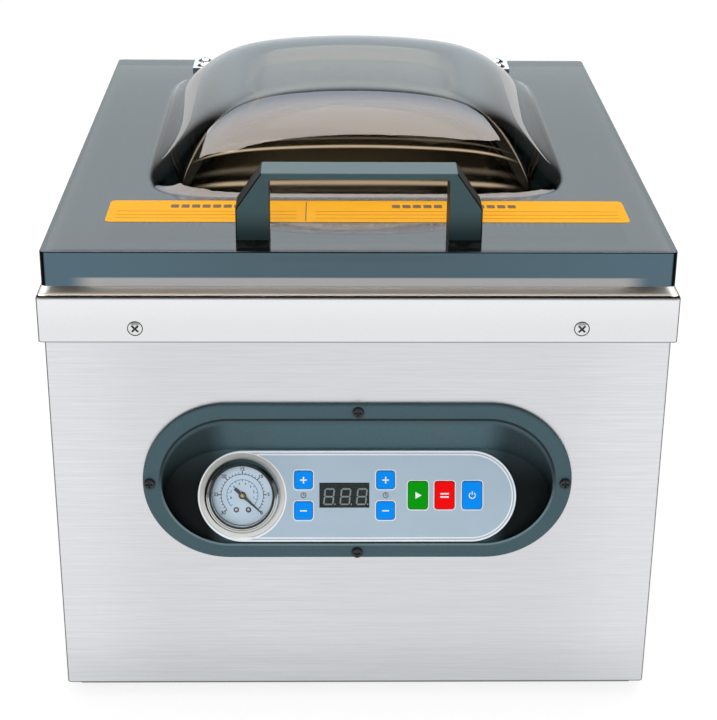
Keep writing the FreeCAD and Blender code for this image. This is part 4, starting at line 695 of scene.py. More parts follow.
@dataclass(frozen=True)
class SmokeAcrylic(Finish):
    """Thick smoke-tinted acrylic of the lid, clear on its faces and frosted slate on its sawn edges.

    Its colour holds painted light and shade: a pale band painted into the front edge where the gasket would
    show through, warm gleams painted across the dome as reflections, sawn edges painted lighter towards the
    ends, and a dark rim of painted shade along the top of the edges and round the front corners. Each gleam
    holds its place from front to back, its half width and its strength. Eases are the ways over which a zone
    begins.
    """

    plate_colour: Colour = (0.06, 0.055, 0.05)
    edge_colour: Colour = (0.046, 0.102, 0.137)
    # painted light and shade: the band stands for the gasket seen through the front edge, the gleams are
    # painted reflections, the rim is painted shade
    band_colour: Colour = (0.35, 0.34, 0.34)
    gleam_colour: Colour = (0.62, 0.47, 0.31)
    rim_colour: Colour = (0.002, 0.004, 0.005)
    half_w: float = 162.4
    front: float = -195.5
    rear: float = 187.2
    top: float = 269.0
    bottom: float = 250.0
    skin: float = 0.7
    rim: float = 0.7
    rim_ease: float = 0.2
    band_h: float = 5.2
    band_ease: float = 0.8
    band_half: float = 142.0
    band_fade: float = 7.0
    corner_x: Pair = (159.4, 160.4)
    corner_r: float = 2.5
    corner_ease: float = 0.4
    dome_rise: Pair = (0.3, 5.0)
    gleams: tuple[Triple, ...] = (
        (-85.4, 1.0, 0.30), (-89.2, 1.2, 0.85), (-97.8, 2.6, 0.30), (-103.3, 1.9, 0.80))
    gleam_ends: Pair = (100.0, 70.0)
    haze: float = 14.0
    haze_tones: Pair = (0.93, 1.07)
    # painted light: the sawn edges grow lighter from the middle to the ends
    edge_levels: Pair = (0.78, 1.12)
    edge_solid: float = 0.92
    band_solid: float = 0.97
    smears: tuple[Triple, float] = ((30.0, 45.0, 30.0), 3.0)
    smear_middle: Pair = (0.45, 0.8)
    roughness: Pair = (0.012, 0.04)
    rim_roughness: float = 0.55
    ior: float = 1.49

    def build(self, shader: Shader) -> None:
        """Lay the clear faces, the frosted edges, and the painted light and shade: the dark rim, the pale
        band and the gleams.

        Args:
            shader: Material that takes the finish.
        """
        edge, band, rim = self.edges(shader)
        blown = shader.along(Axis.UP, *(self.top + rise for rise in self.dome_rise))
        gleam = shader.product(self.gleam(shader), blown)
        haze = shader.noise(self.haze)
        dome = shader.mottled(haze, self.colour, self.haze_tones)
        clear = shader.blend(gleam, shader.blend(blown, self.plate_colour, dome), self.gleam_colour)
        sawn = shader.scaled(shader.mottled(haze, self.edge_colour, self.haze_tones),
                             shader.along(Axis.ASIDE, 0.0, self.half_w, *self.edge_levels))
        # painted band over the edges, then the painted dark rim
        tone = shader.blend(band, shader.blend(edge, clear, sawn), self.band_colour)
        shader.feed(shader.blend(rim, tone, self.rim_colour), "Base Color")
        shader.feed(rim, "Metallic")
        frosted = shader.span(edge, 0.0, 1.0, 0.0, self.edge_solid)
        backed = shader.span(shader.most(band, rim), 0.0, 1.0, 0.0, self.band_solid)
        solid = shader.most(frosted, backed, gleam)
        shader.feed(shader.span(solid, 0.0, 1.0, 1.0, 0.0), "Transmission Weight")
        smears = shader.span(shader.noise(*self.smears), *self.smear_middle, *self.roughness)
        shader.feed(shader.between(rim, smears, self.rim_roughness), "Roughness")
        shader.set(IOR=self.ior)

    def edges(self, shader: Shader) -> tuple[Socket, Socket, Socket]:
        """Find the plate's sawn edges by their place.

        Args:
            shader: Material that takes the finish.

        Returns:
            The shares of the edges, of the pale band painted into the front edge, and of the dark rim of
            painted shade.
        """
        front = shader.along(Axis.BACK, self.front + self.skin, self.front)
        rear = shader.along(Axis.BACK, self.rear - self.skin, self.rear)
        flanks = shader.along(Axis.ASIDE, self.half_w - self.skin, self.half_w)
        turned_y = self.front + self.corner_r
        turn = shader.product(shader.along(Axis.BACK, turned_y + self.corner_ease, turned_y),
                              shader.along(Axis.ASIDE, *self.corner_x),
                              shader.along(Axis.UP, self.top, self.top - self.corner_ease))
        edge = shader.most(front, rear, flanks, turn)
        band_top = self.bottom + self.band_h
        low = shader.along(Axis.UP, band_top, band_top - self.band_ease)
        inner = shader.along(Axis.ASIDE, self.band_half + self.band_fade, self.band_half - self.band_fade)
        crest_z = self.top - self.rim
        crest = shader.along(Axis.UP, crest_z - self.rim_ease, crest_z + self.rim_ease)
        return edge, shader.product(low, front, inner), shader.product(edge, shader.most(crest, turn))

    def gleam(self, shader: Shader) -> Socket:
        """Find the warm gleams, painted reflections, that run across the dome's front.

        Args:
            shader: Material that takes the finish.

        Returns:
            The share of the gleams.
        """
        depth = shader.axis(Axis.BACK)
        shares = []
        for place, half, strength in self.gleams:
            away = shader.unsigned(shader.maths("SUBTRACT", depth, place * MM))
            shares.append(shader.span(away, half * MM, 0.0, 0.0, strength))
        return shader.product(shader.most(*shares), shader.along(Axis.ASIDE, *self.gleam_ends))


# painted light towards the sides, painted shade near the floor, and painted shade along the foot and on the
# folds
STEEL_CASE = BrushedSteel("casing_steel_finish", (0.66, 0.665, 0.685), streaks=0.10,
                          to_sides=(95.0, 160.0, 1.10), by_height=(48.0, 12.0, 0.88),
                          lower_edge=(10.3, 9.8, 0.3), fold_shadow=0.14)
# painted light towards the top of the skirt, painted shade along its lower edge and on its folds
STEEL_DECK = DeckSteel("deck_steel_finish", (0.77, 0.775, 0.79), 0.34, Grain.RANDOM, 0.03, 0.02,
                       by_height=(224.0, 243.0, 1.08), lower_edge=(220.2, 219.8, 0.3), fold_shadow=0.10)
STEEL_TUB = BrushedSteel("tub_steel_finish", (0.70, 0.70, 0.69), 0.32, Grain.ACROSS, 0.05, 0.01)
STEEL_HINGE = BrightMetal("hinge_steel_finish", (0.80, 0.80, 0.80))
STEEL_SCREW = BrightMetal("screw_plating", (0.72, 0.72, 0.72), 0.18, gloss=(-0.054, 0.072))
# blacked screws, and the painted shadows in and round the skirt's and the hinges' screws
SCREW_BLACK_AND_SHADE = CastMetal("screw_blacking_and_painted_shade", (0.012, 0.014, 0.016), 0.5, 0.0)
# smoke acrylic with painted light and shade in its band, gleams, edges and rim
LID_SMOKE = SmokeAcrylic("lid_smoke_acrylic", (0.34, 0.29, 0.21))
# painted shade on the handle's sides and towards its feet
HANDLE_SLATE = SidedPlastic("handle_slate_plastic", (0.042, 0.082, 0.090), 0.46, specular=0.22,
                            by_height=(286.0, 271.0, 0.42))
# painted shade over the bead's upper half
BEZEL_BEAD = MouldedPlastic("bead_slate_plastic", (0.13, 0.205, 0.225), 0.42, specular=0.2,
                            by_height=(115.0, 150.0, 0.10))
# painted shade in the pocket's ends and painted light on its upper wall
BEZEL_SLATE = PocketPlastic("bezel_slate_plastic", (0.055, 0.103, 0.120), 0.50, specular=0.2)
GASKET_PALE = SoftRubber("gasket_silicone_skin", (0.96, 0.93, 0.87))
PAD_RED = SoftRubber("pad_silicone_skin", (0.55, 0.16, 0.08))
RUBBER_BLACK = SoftRubber("black_rubber_skin", (0.022, 0.022, 0.024))
ALLOY_BAR = BrushedSteel("bar_aluminium_finish", (0.74, 0.75, 0.76), 0.36, Grain.ACROSS, 0.06, 0.08)
WIRE_FLAT = BrightMetal("element_wire_finish", (0.52, 0.46, 0.40), 0.3, gloss=(-0.09, 0.12))
TAPE_BROWN = MouldedPlastic("tape_weave", (0.28, 0.17, 0.08), 0.55, grain=(900.0, 2.0), relief=(0.35, 0.08))
PLATE_SILVER = PrintInk("plate_silver_print", (0.425, 0.535, 0.63), 0.38)
INK_WHITE = PrintInk("white_ink", (0.88, 0.90, 0.93))
# black print, and the painted shadows round the dial's screws
INK_BLACK_AND_SHADE = PrintInk("black_ink_and_painted_shade", (0.015, 0.018, 0.02))
INK_TEAL = PrintInk("teal_ink", (0.01, 0.18, 0.30))
INK_UMBER = PrintInk("umber_ink", (0.10, 0.055, 0.008))
INK_ORANGE = PrintInk("orange_ink", (0.97, 0.44, 0.003), 0.5, specular=0.03)
INK_AMBER = PrintInk("amber_ink", (0.62, 0.24, 0.004), 0.5, specular=0.03)
KEY_BLUE = PrintInk("key_blue_face", (0.001, 0.28, 0.95), 0.40, specular=0.06)
KEY_GREEN = PrintInk("key_green_face", (0.001, 0.33, 0.003), 0.40, specular=0.06)
KEY_RED = PrintInk("key_red_face", (0.95, 0.002, 0.003), 0.40, specular=0.06)
DISPLAY_SLATE = MouldedPlastic("display_slate", (0.014, 0.023, 0.025), 0.5, specular=0.1,
                               relief=(0.05, 0.08))
SEGMENT_GREY = PrintInk("segment_grey", (0.42, 0.43, 0.41))
DISPLAY_PANE = ClearPane("display_pane_clear", (0.80, 0.86, 0.88))
GAUGE_CHROME = BrightMetal("gauge_ring_chrome", (0.50, 0.52, 0.50), 0.12, gloss=(-0.036, 0.048),
                           relief=(0.004, 0.03))
COLLAR_SILVER = CastMetal("collar_silver_lacquer", (0.74, 0.73, 0.70), 0.36, 0.3, grain=(2500.0, 3.0))
GAUGE_ENAMEL = CastMetal("gauge_black_enamel", (0.020, 0.024, 0.026), 0.35, 0.0)
DIAL_WHITE = PrintInk("dial_white_enamel", (0.72, 0.86, 1.0))
GAUGE_CLEAR = ClearPane("gauge_glass_clear", (0.97, 0.985, 1.0))
BOARD_GREEN = MouldedPlastic("board_green_lacquer", (0.02, 0.10, 0.045), 0.35)
SWITCH_BLACK = MouldedPlastic("switch_black_moulding", (0.02, 0.02, 0.021), 0.42)
BRASS = CastMetal("turned_brass", (0.68, 0.48, 0.20), 0.30)
ALLOY_TURNED = CastMetal("turned_alloy", (0.68, 0.69, 0.70), 0.34)
MOTOR_ENAMEL = CastMetal("motor_dark_enamel", (0.045, 0.052, 0.06), 0.42, 0.0)
PUMP_CAST = CastMetal("pump_cast_alloy", (0.52, 0.53, 0.54), 0.5)
FAN_BLACK = MouldedPlastic("fan_black_moulding", (0.025, 0.025, 0.026), 0.5)
CORE_IRON = CastMetal("core_stacked_iron", (0.14, 0.14, 0.15), 0.55)
COIL_TAPE = MouldedPlastic("coil_wrapped_tape", (0.42, 0.20, 0.06), 0.45, grain=(700.0, 2.0),
                           relief=(0.3, 0.08))

SLOT_FINISHES: dict[str, Finish] = {
    "casing_steel": STEEL_CASE, "deck_steel": STEEL_DECK, "tub_steel": STEEL_TUB,
    "hinge_steel": STEEL_HINGE, "screw_steel": STEEL_SCREW, "screw_black": SCREW_BLACK_AND_SHADE,
    "lid_acrylic": LID_SMOKE, "handle_plastic": HANDLE_SLATE, "bezel_plastic": BEZEL_SLATE,
    "gasket_silicone": GASKET_PALE, "pad_silicone": PAD_RED, "foot_rubber": RUBBER_BLACK,
    "bar_aluminium": ALLOY_BAR, "element_wire": WIRE_FLAT, "tape_brown": TAPE_BROWN,
    "plate_print": PLATE_SILVER, "key_blue": KEY_BLUE, "key_green": KEY_GREEN, "key_red": KEY_RED,
    "display_dark": DISPLAY_SLATE, "window_tint": DISPLAY_PANE, "gauge_chrome": GAUGE_CHROME,
    "gauge_black": GAUGE_ENAMEL, "dial_white": DIAL_WHITE, "gauge_clear": GAUGE_CLEAR,
    "board_green": BOARD_GREEN, "switch_black": SWITCH_BLACK, "spacer_brass": BRASS,
    "cylinder_alloy": ALLOY_TURNED, "motor_paint": MOTOR_ENAMEL, "pump_alloy": PUMP_CAST,
    "fan_plastic": FAN_BLACK, "valve_brass": BRASS, "hose_rubber": RUBBER_BLACK,
    "core_iron": CORE_IRON, "coil_wrap": COIL_TAPE,
}


def shift(x: float, y: float, z: float) -> Matrix:
    """Move by millimetres."""
    return Matrix.Translation(Vector((x, y, z)) * MM)


def rotation(degrees: float, axis: str) -> Matrix:
    """Turn about an axis."""
    return Matrix.Rotation(math.radians(degrees), 4, axis)


def only(piece: Piece) -> None:
    """Select a piece alone and make it the active one.

    Args:
        piece: Piece to select.
    """
    bpy.ops.object.select_all(action="DESELECT")
    piece.select_set(True)
    bpy.context.view_layer.objects.active = piece


def begin(adder: Callable[..., object], **options: object) -> Piece:
    """Add a primitive with nothing else selected.

    Args:
        adder: Operator that adds the primitive.
        options: The operator's own options.

    Returns:
        The new object.
    """
    bpy.ops.object.select_all(action="DESELECT")
    adder(**options)
    return bpy.context.active_object


@contextmanager
def editing(piece: Piece) -> Iterator[None]:
    """Hold a piece in edit mode.

    Args:
        piece: Piece that is shaped.
    """
    only(piece)
    bpy.ops.object.mode_set(mode="EDIT")
    yield
    bpy.ops.object.mode_set(mode="OBJECT")


def choose(piece: Piece, part: Part, test: Callable[[object], bool]) -> None:
    """Select the elements of a piece in edit mode that pass a test, and no others.

    Args:
        piece: Piece in edit mode.
        part: Kind of element.
        test: Whether an element is selected.
    """
    bpy.ops.mesh.select_mode(type=part.value)
    bpy.ops.mesh.select_all(action="DESELECT")
    mesh = bmesh.from_edit_mesh(piece.data)
    elements = {Part.VERTS: mesh.verts, Part.EDGES: mesh.edges, Part.FACES: mesh.faces}[part]
    for element in elements:
        element.select_set(test(element))
    mesh.select_flush_mode()
    bmesh.update_edit_mesh(piece.data)


def choose_all() -> None:
    """Select the whole mesh in edit mode."""
    bpy.ops.mesh.select_all(action="SELECT")


def face_outwards() -> None:
    """Turn every face of the mesh in edit mode outwards."""
    choose_all()
    bpy.ops.mesh.normals_make_consistent(inside=False)


def extrude(height: float) -> None:
    """Extrude what is selected in edit mode along Z, height in metres."""
    bpy.ops.mesh.extrude_region_move(TRANSFORM_OT_translate={"value": (0, 0, height)})


def round_edges(piece: Piece, test: Callable[[bmesh.types.BMEdge], bool], width: float,
                segments: int) -> None:
    """Round some edges of a piece in edit mode.

    Args:
        piece: Piece in edit mode.
        test: Whether an edge is rounded.
        width: Width of the rounding in millimetres.
        segments: Number of steps in it.
    """
    choose(piece, Part.EDGES, test)
    bpy.ops.mesh.bevel(offset=width * MM, segments=segments, affect="EDGES", clamp_overlap=False)


def raise_all(piece: Piece, height: float) -> Piece:
    """Extrude a flat piece upwards into a closed slab.

    Args:
        piece: Flat piece.
        height: Thickness in millimetres.

    Returns:
        The piece.
    """
    with editing(piece):
        choose_all()
        extrude(height * MM)
        face_outwards()
    return piece


def settle(piece: Piece, place: Matrix = UNMOVED) -> Piece:
    """Move a piece into place and bake that into its mesh.

    Args:
        piece: Piece to move.
        place: Where it goes from where it stands.

    Returns:
        The piece.
    """
    piece.matrix_basis = place @ piece.matrix_basis
    only(piece)
    bpy.ops.object.transform_apply(location=True, rotation=True, scale=True)
    return piece


def joined(pieces: Sequence[Piece]) -> Piece:
    """Join several pieces into the first.

    Args:
        pieces: Pieces to join.

    Returns:
        The joined piece.
    """
    only(pieces[0])
    for piece in pieces[1:]:
        piece.select_set(True)
    if len(pieces) > 1:
        bpy.ops.object.join()
    return pieces[0]


def modified(piece: Piece, kind: str, **settings: object) -> Piece:
    """Apply a modifier to a piece.

    Args:
        piece: Piece to change.
        kind: Blender's name of the modifier type.
        settings: Values of the modifier's own properties.

    Returns:
        The piece.
    """
    modifier = piece.modifiers.new(kind.lower(), kind)
    for key, value in settings.items():
        setattr(modifier, key, value)
    only(piece)
    bpy.ops.object.modifier_apply(modifier=modifier.name)
    return piece


def eased(piece: Piece, width: float, segments: int, angle: float = 30.0) -> Piece:
    """Round the sharp edges of a piece by a width in millimetres, past an angle in degrees."""
    return modified(piece, "BEVEL", width=width * MM, segments=segments, limit_method="ANGLE",
                    angle_limit=math.radians(angle))


def smooth(piece: Piece, angle: float = 35.0) -> Piece:
    """Shade a piece smooth, its flats kept flat beside their rounded edges.

    Args:
        piece: Piece to shade.
        angle: Angle in degrees past which an edge stays sharp.

    Returns:
        The piece.
    """
    only(piece)
    bpy.ops.object.shade_smooth_by_angle(angle=math.radians(angle))
    return modified(piece, "WEIGHTED_NORMAL", keep_sharp=True)


def fit(piece: Piece, name: str, body: str, finish: Finish,
        stands_for: Sequence[str] = ()) -> Piece:
    """Name, dress and mount a finished piece.

    Args:
        piece: Finished mesh object at the origin.
        name: Name of the piece.
        body: CAD body that it moves with.
        finish: Finish of its surface.
        stands_for: CAD nodes that it replaces.

    Returns:
        The piece.
    """
    piece.name = name
    piece.data.name = name
    piece.data.materials.clear()
    piece.data.materials.append(finish.material())
    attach(piece, body)
    if stands_for:
        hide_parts(*stands_for)
    log.info("piece %s on %s, %d faces", name, body, len(piece.data.polygons))
    return piece


def copy_of(node: str) -> Piece:
    """Copy a CAD node's mesh with its loose triangles merged.

    Args:
        node: Name of the node.

    Returns:
        The copy, free of the node itself.
    """
    source = frame["nodes"][node]
    piece = bpy.data.objects.new(node + "_copy", source.data.copy())
    bpy.context.scene.collection.objects.link(piece)
    with editing(piece):
        choose_all()
        bpy.ops.mesh.customdata_custom_splitnormals_clear()
        bpy.ops.mesh.remove_doubles(threshold=MERGE_GAP * MM)
        bpy.ops.mesh.dissolve_limited(angle_limit=math.radians(FLAT_ANGLE))
    return piece


def turned(profile: Sequence[Pair], sides: int, closed: bool) -> Piece:
    """Turned piece about the Z axis, drawn up ring by ring.

    Args:
        profile: Radius and height of each ring in millimetres.
        sides: Number of sides round the axis.
        closed: Whether the last ring is bridged to the first, or both ends are filled.

    Returns:
        The new piece.
    """
    radius, height = profile[0]
    piece = begin(bpy.ops.mesh.primitive_circle_add, vertices=sides, radius=radius * MM,
                  location=(0, 0, height * MM))
    settle(piece)
    with editing(piece):
        bpy.ops.mesh.select_mode(type=Part.EDGES.value)
        choose_all()
        for following, level in profile[1:]:
            extrude((level - height) * MM)
            factor = following / radius
            bpy.ops.transform.resize(value=(factor, factor, 1), center_override=(0, 0, level * MM))
            radius, height = following, level
        choose(piece, Part.EDGES, lambda edge: edge.is_boundary)
        if closed:
            bpy.ops.mesh.bridge_edge_loops()
        else:
            bpy.ops.mesh.fill_holes(sides=0)
        face_outwards()
    return smooth(piece)


class Print:
    """Flat printed marks, drawn in their own plane and raised by the thickness of the ink, in millimetres."""

    @staticmethod
    def sheet(width: float, height: float, corner: float) -> Piece:
        """Flat sheet with rounded corners.

        Args:
            width: Size along X.
            height: Size along Y.
            corner: Radius of the corners, or 0.

        Returns:
            The sheet.
        """
        piece = begin(bpy.ops.mesh.primitive_plane_add, size=1.0)
        piece.scale = (width * MM, height * MM, 1)
        settle(piece)
        if corner:
            with editing(piece):
                choose_all()
                bpy.ops.mesh.bevel(offset=corner * MM, segments=CORNER_STEPS, affect="VERTICES",
                                   clamp_overlap=False)
        return piece

    @staticmethod
    def slab(width: float, height: float, corner: float = 0.0, thick: float = PRINT_T) -> Piece:
        """Solid mark, rounded where it has a corner radius."""
        return raise_all(Print.sheet(width, height, corner), thick)

    @staticmethod
    def open_middle(line: float) -> None:
        """Leave a line's width round the flat piece in edit mode, and take out the rest.

        Args:
            line: Width of the line.
        """
        bpy.ops.mesh.select_mode(type=Part.FACES.value)
        choose_all()
        bpy.ops.mesh.inset(thickness=line * MM, depth=0)
        bpy.ops.mesh.delete(type="FACE")

    @staticmethod
    def hollow(piece: Piece, line: float, thick: float = PRINT_T) -> Piece:
        """Turn a flat sheet into a raised frame.

        Args:
            piece: Flat sheet.
            line: Width of the frame's line.
            thick: Height of the frame.

        Returns:
            The frame.
        """
        with editing(piece):
            Print.open_middle(line)
        return raise_all(piece, thick)

    @staticmethod
    def disc(radius: float, sides: int = DISC_SIDES) -> Piece:
        """Flat disc."""
        return begin(bpy.ops.mesh.primitive_circle_add, vertices=sides, radius=radius * MM, fill_type="NGON")

    @staticmethod
    def ring(radius: float, line: float) -> Piece:
        """Raised circular line inside a radius."""
        return Print.hollow(Print.disc(radius), line)

    @staticmethod
    def stadium(width: float, height: float, line: float, thick: float = PRINT_T) -> Piece:
        """Raised line round a slot shape.

        Args:
            width: Size along X.
            height: Size along Y.
            line: Width of the line.
            thick: Height of the line.

        Returns:
            The line.
        """
        piece = Print.disc(height / 2)
        half_run = (width - height) / 2 * MM
        with editing(piece):
            for side in (-1, 1):
                choose(piece, Part.VERTS, lambda vert: vert.co.x * side > NEAR)
                bpy.ops.transform.translate(value=(side * half_run, 0, 0))
        return Print.hollow(piece, line, thick)

    @staticmethod
    def arc(radius: float, line: float, start: float, end: float) -> Piece:
        """Raised part of a circular line.

        Args:
            radius: Outer radius.
            line: Width of the line.
            start: Angle in degrees where it starts.
            end: Angle in degrees where it ends.

        Returns:
            The line.
        """
        def outside(face: bmesh.types.BMFace) -> bool:
            """Whether a face lies outside the arc."""
            centre = face.calc_center_median()
            return (math.degrees(math.atan2(centre.y, centre.x)) - start) % 360 > end - start

        piece = Print.disc(radius, ARC_SIDES)
        with editing(piece):
            Print.open_middle(line)
            choose(piece, Part.FACES, outside)
            bpy.ops.mesh.delete(type="FACE")
        return raise_all(piece, PRINT_T)

    @staticmethod
    def polygon(points: Sequence[Pair]) -> Piece:
        """Raised mark with straight sides.

        Args:
            points: Its corners.

        Returns:
            The mark.
        """
        piece = begin(bpy.ops.mesh.primitive_circle_add, vertices=len(points), radius=MM, fill_type="NGON")
        for vert, (x, y) in zip(piece.data.vertices, points):
            vert.co = (x * MM, y * MM, 0)
        return raise_all(piece, PRINT_T)

    @staticmethod
    def numeral(figures: str, size: float) -> Piece:
        """Figures of a scale, centred.

        Args:
            figures: What is printed.
            size: Size of the type.

        Returns:
            The figures as a mesh.
        """
        text = begin(bpy.ops.object.text_add).data
        text.body = figures
        text.size = size * MM
        text.align_x = "CENTER"
        text.align_y = "CENTER"
        text.extrude = PRINT_T / 2 * MM
        text.offset = FIGURE_BOLD * MM
        bpy.ops.object.convert(target="MESH")
        return bpy.context.active_object


@dataclass
class PanelPlane:
    """Plane of the sloping control plate: x across, y up along the plate, z out of it."""

    tilt: float = 20.0
    origin: Triple = (0.0, -186.59, 124.06)

    def place(self, x: float, up: float, out: float, turn: float = 0.0) -> Matrix:
        """Where a mark drawn flat goes on the panel.

        Args:
            x: Millimetres to the right of the plate's middle.
            up: Millimetres up the plate from its middle.
            out: Millimetres out from the plate's seat.
            turn: Turn about the plate's normal in degrees.

        Returns:
            The matrix that takes the flat mark there.
        """
        seat = shift(*self.origin) @ rotation(90 - self.tilt, "X")
        return seat @ shift(x, up, out) @ rotation(turn, "Z")

    def top_of(self, node: str) -> float:
        """How far a CAD node reaches out of the plate's seat, in millimetres."""
        back = self.place(0, 0, 0).inverted()
        return max((back @ vert.co).z for vert in frame["nodes"][node].data.vertices) / MM


@dataclass
class Sheetwork:
    """Casing, deck, rear panel, base plate and feet.

    The arms of the screws' crosses of painted shade are shares of the head's radius.
    """

    foot_profile: tuple[Pair, ...] = (
        (4.2, 4.0), (4.2, 0.6), (4.8, 0.0), (8.2, 0.0), (8.9, 0.6), (9.4, 2.6), (9.0, 3.0), (9.0, 3.4),
        (9.6, 3.8), (10.4, 6.6), (10.9, 7.2), (10.9, 8.0), (2.0, 8.0), (2.0, 4.0))
    foot_sides: int = 40
    foot_x: float = 130.85
    foot_y: Pair = (-163.0, 160.1)
    skirt_x: float = 165.7
    skirt_y: Pair = (-197.0, 195.3)
    screw_x: float = 115.3
    rear_screw_x: float = 45.0
    screw_z: float = 227.3
    head_r: float = 3.85
    head_gap: float = 0.2
    head_line: float = 0.45
    cross_arm: float = 0.59
    cross_half: float = 0.125
    cross_turn: float = 45.0

    def feet(self) -> None:
        """Make the rubber feet."""
        feet = []
        for x in (-self.foot_x, self.foot_x):
            for y in self.foot_y:
                feet.append(settle(turned(self.foot_profile, self.foot_sides, True), shift(x, y, 0)))
        fit(joined(feet), "rubber_foot_set", "base", RUBBER_BLACK, ["rubber_feet"])

    def screw_seats(self) -> list[Matrix]:
        """Find where the skirt's screws sit.

        Returns:
            Their seats, each with its outward direction along Z.
        """
        front, rear = self.skirt_y
        quarter = (rear - front) / 4
        spots = []
        for side in (-1, 1):
            spots.append((side * self.screw_x, front, 0))
            spots.append((side * self.rear_screw_x, rear, 180))
            spots.append((side * self.skirt_x, front + quarter, side * 90))
            spots.append((side * self.skirt_x, rear - quarter, side * 90))
        outwards = rotation(90, "X")
        return [shift(x, y, self.screw_z) @ rotation(turn, "Z") @ outwards for x, y, turn in spots]

    def cross(self) -> list[Pair]:
        """Draw the cross of painted shade in a screw's head.

        Returns:
            The corners of its outline, quarter by quarter.
        """
        arm = self.head_r * self.cross_arm
        half = self.head_r * self.cross_half
        quarter = [(half, arm), (half, half), (arm, half)]
        outline = []
        for _ in range(4):
            outline += quarter
            quarter = [(y, -x) for x, y in quarter]
        return outline

    def screw_marks(self) -> None:
        """Paint shade into each skirt screw: a dark cross in its recess and a dark line round its head."""
        marks = []
        raised = shift(0, 0, PRINT_LIFT)
        for seat in self.screw_seats():
            marks.append(settle(Print.polygon(self.cross()), seat @ raised @ rotation(self.cross_turn, "Z")))
            marks.append(settle(Print.ring(self.head_r + self.head_gap, self.head_line), seat @ raised))
        fit(joined(marks), "skirt_screw_shadows", "base", SCREW_BLACK_AND_SHADE)

    def build(self) -> None:
        """Make the feet and the screws' painted shadows; the sheets keep their CAD shape."""
        self.feet()
        self.screw_marks()


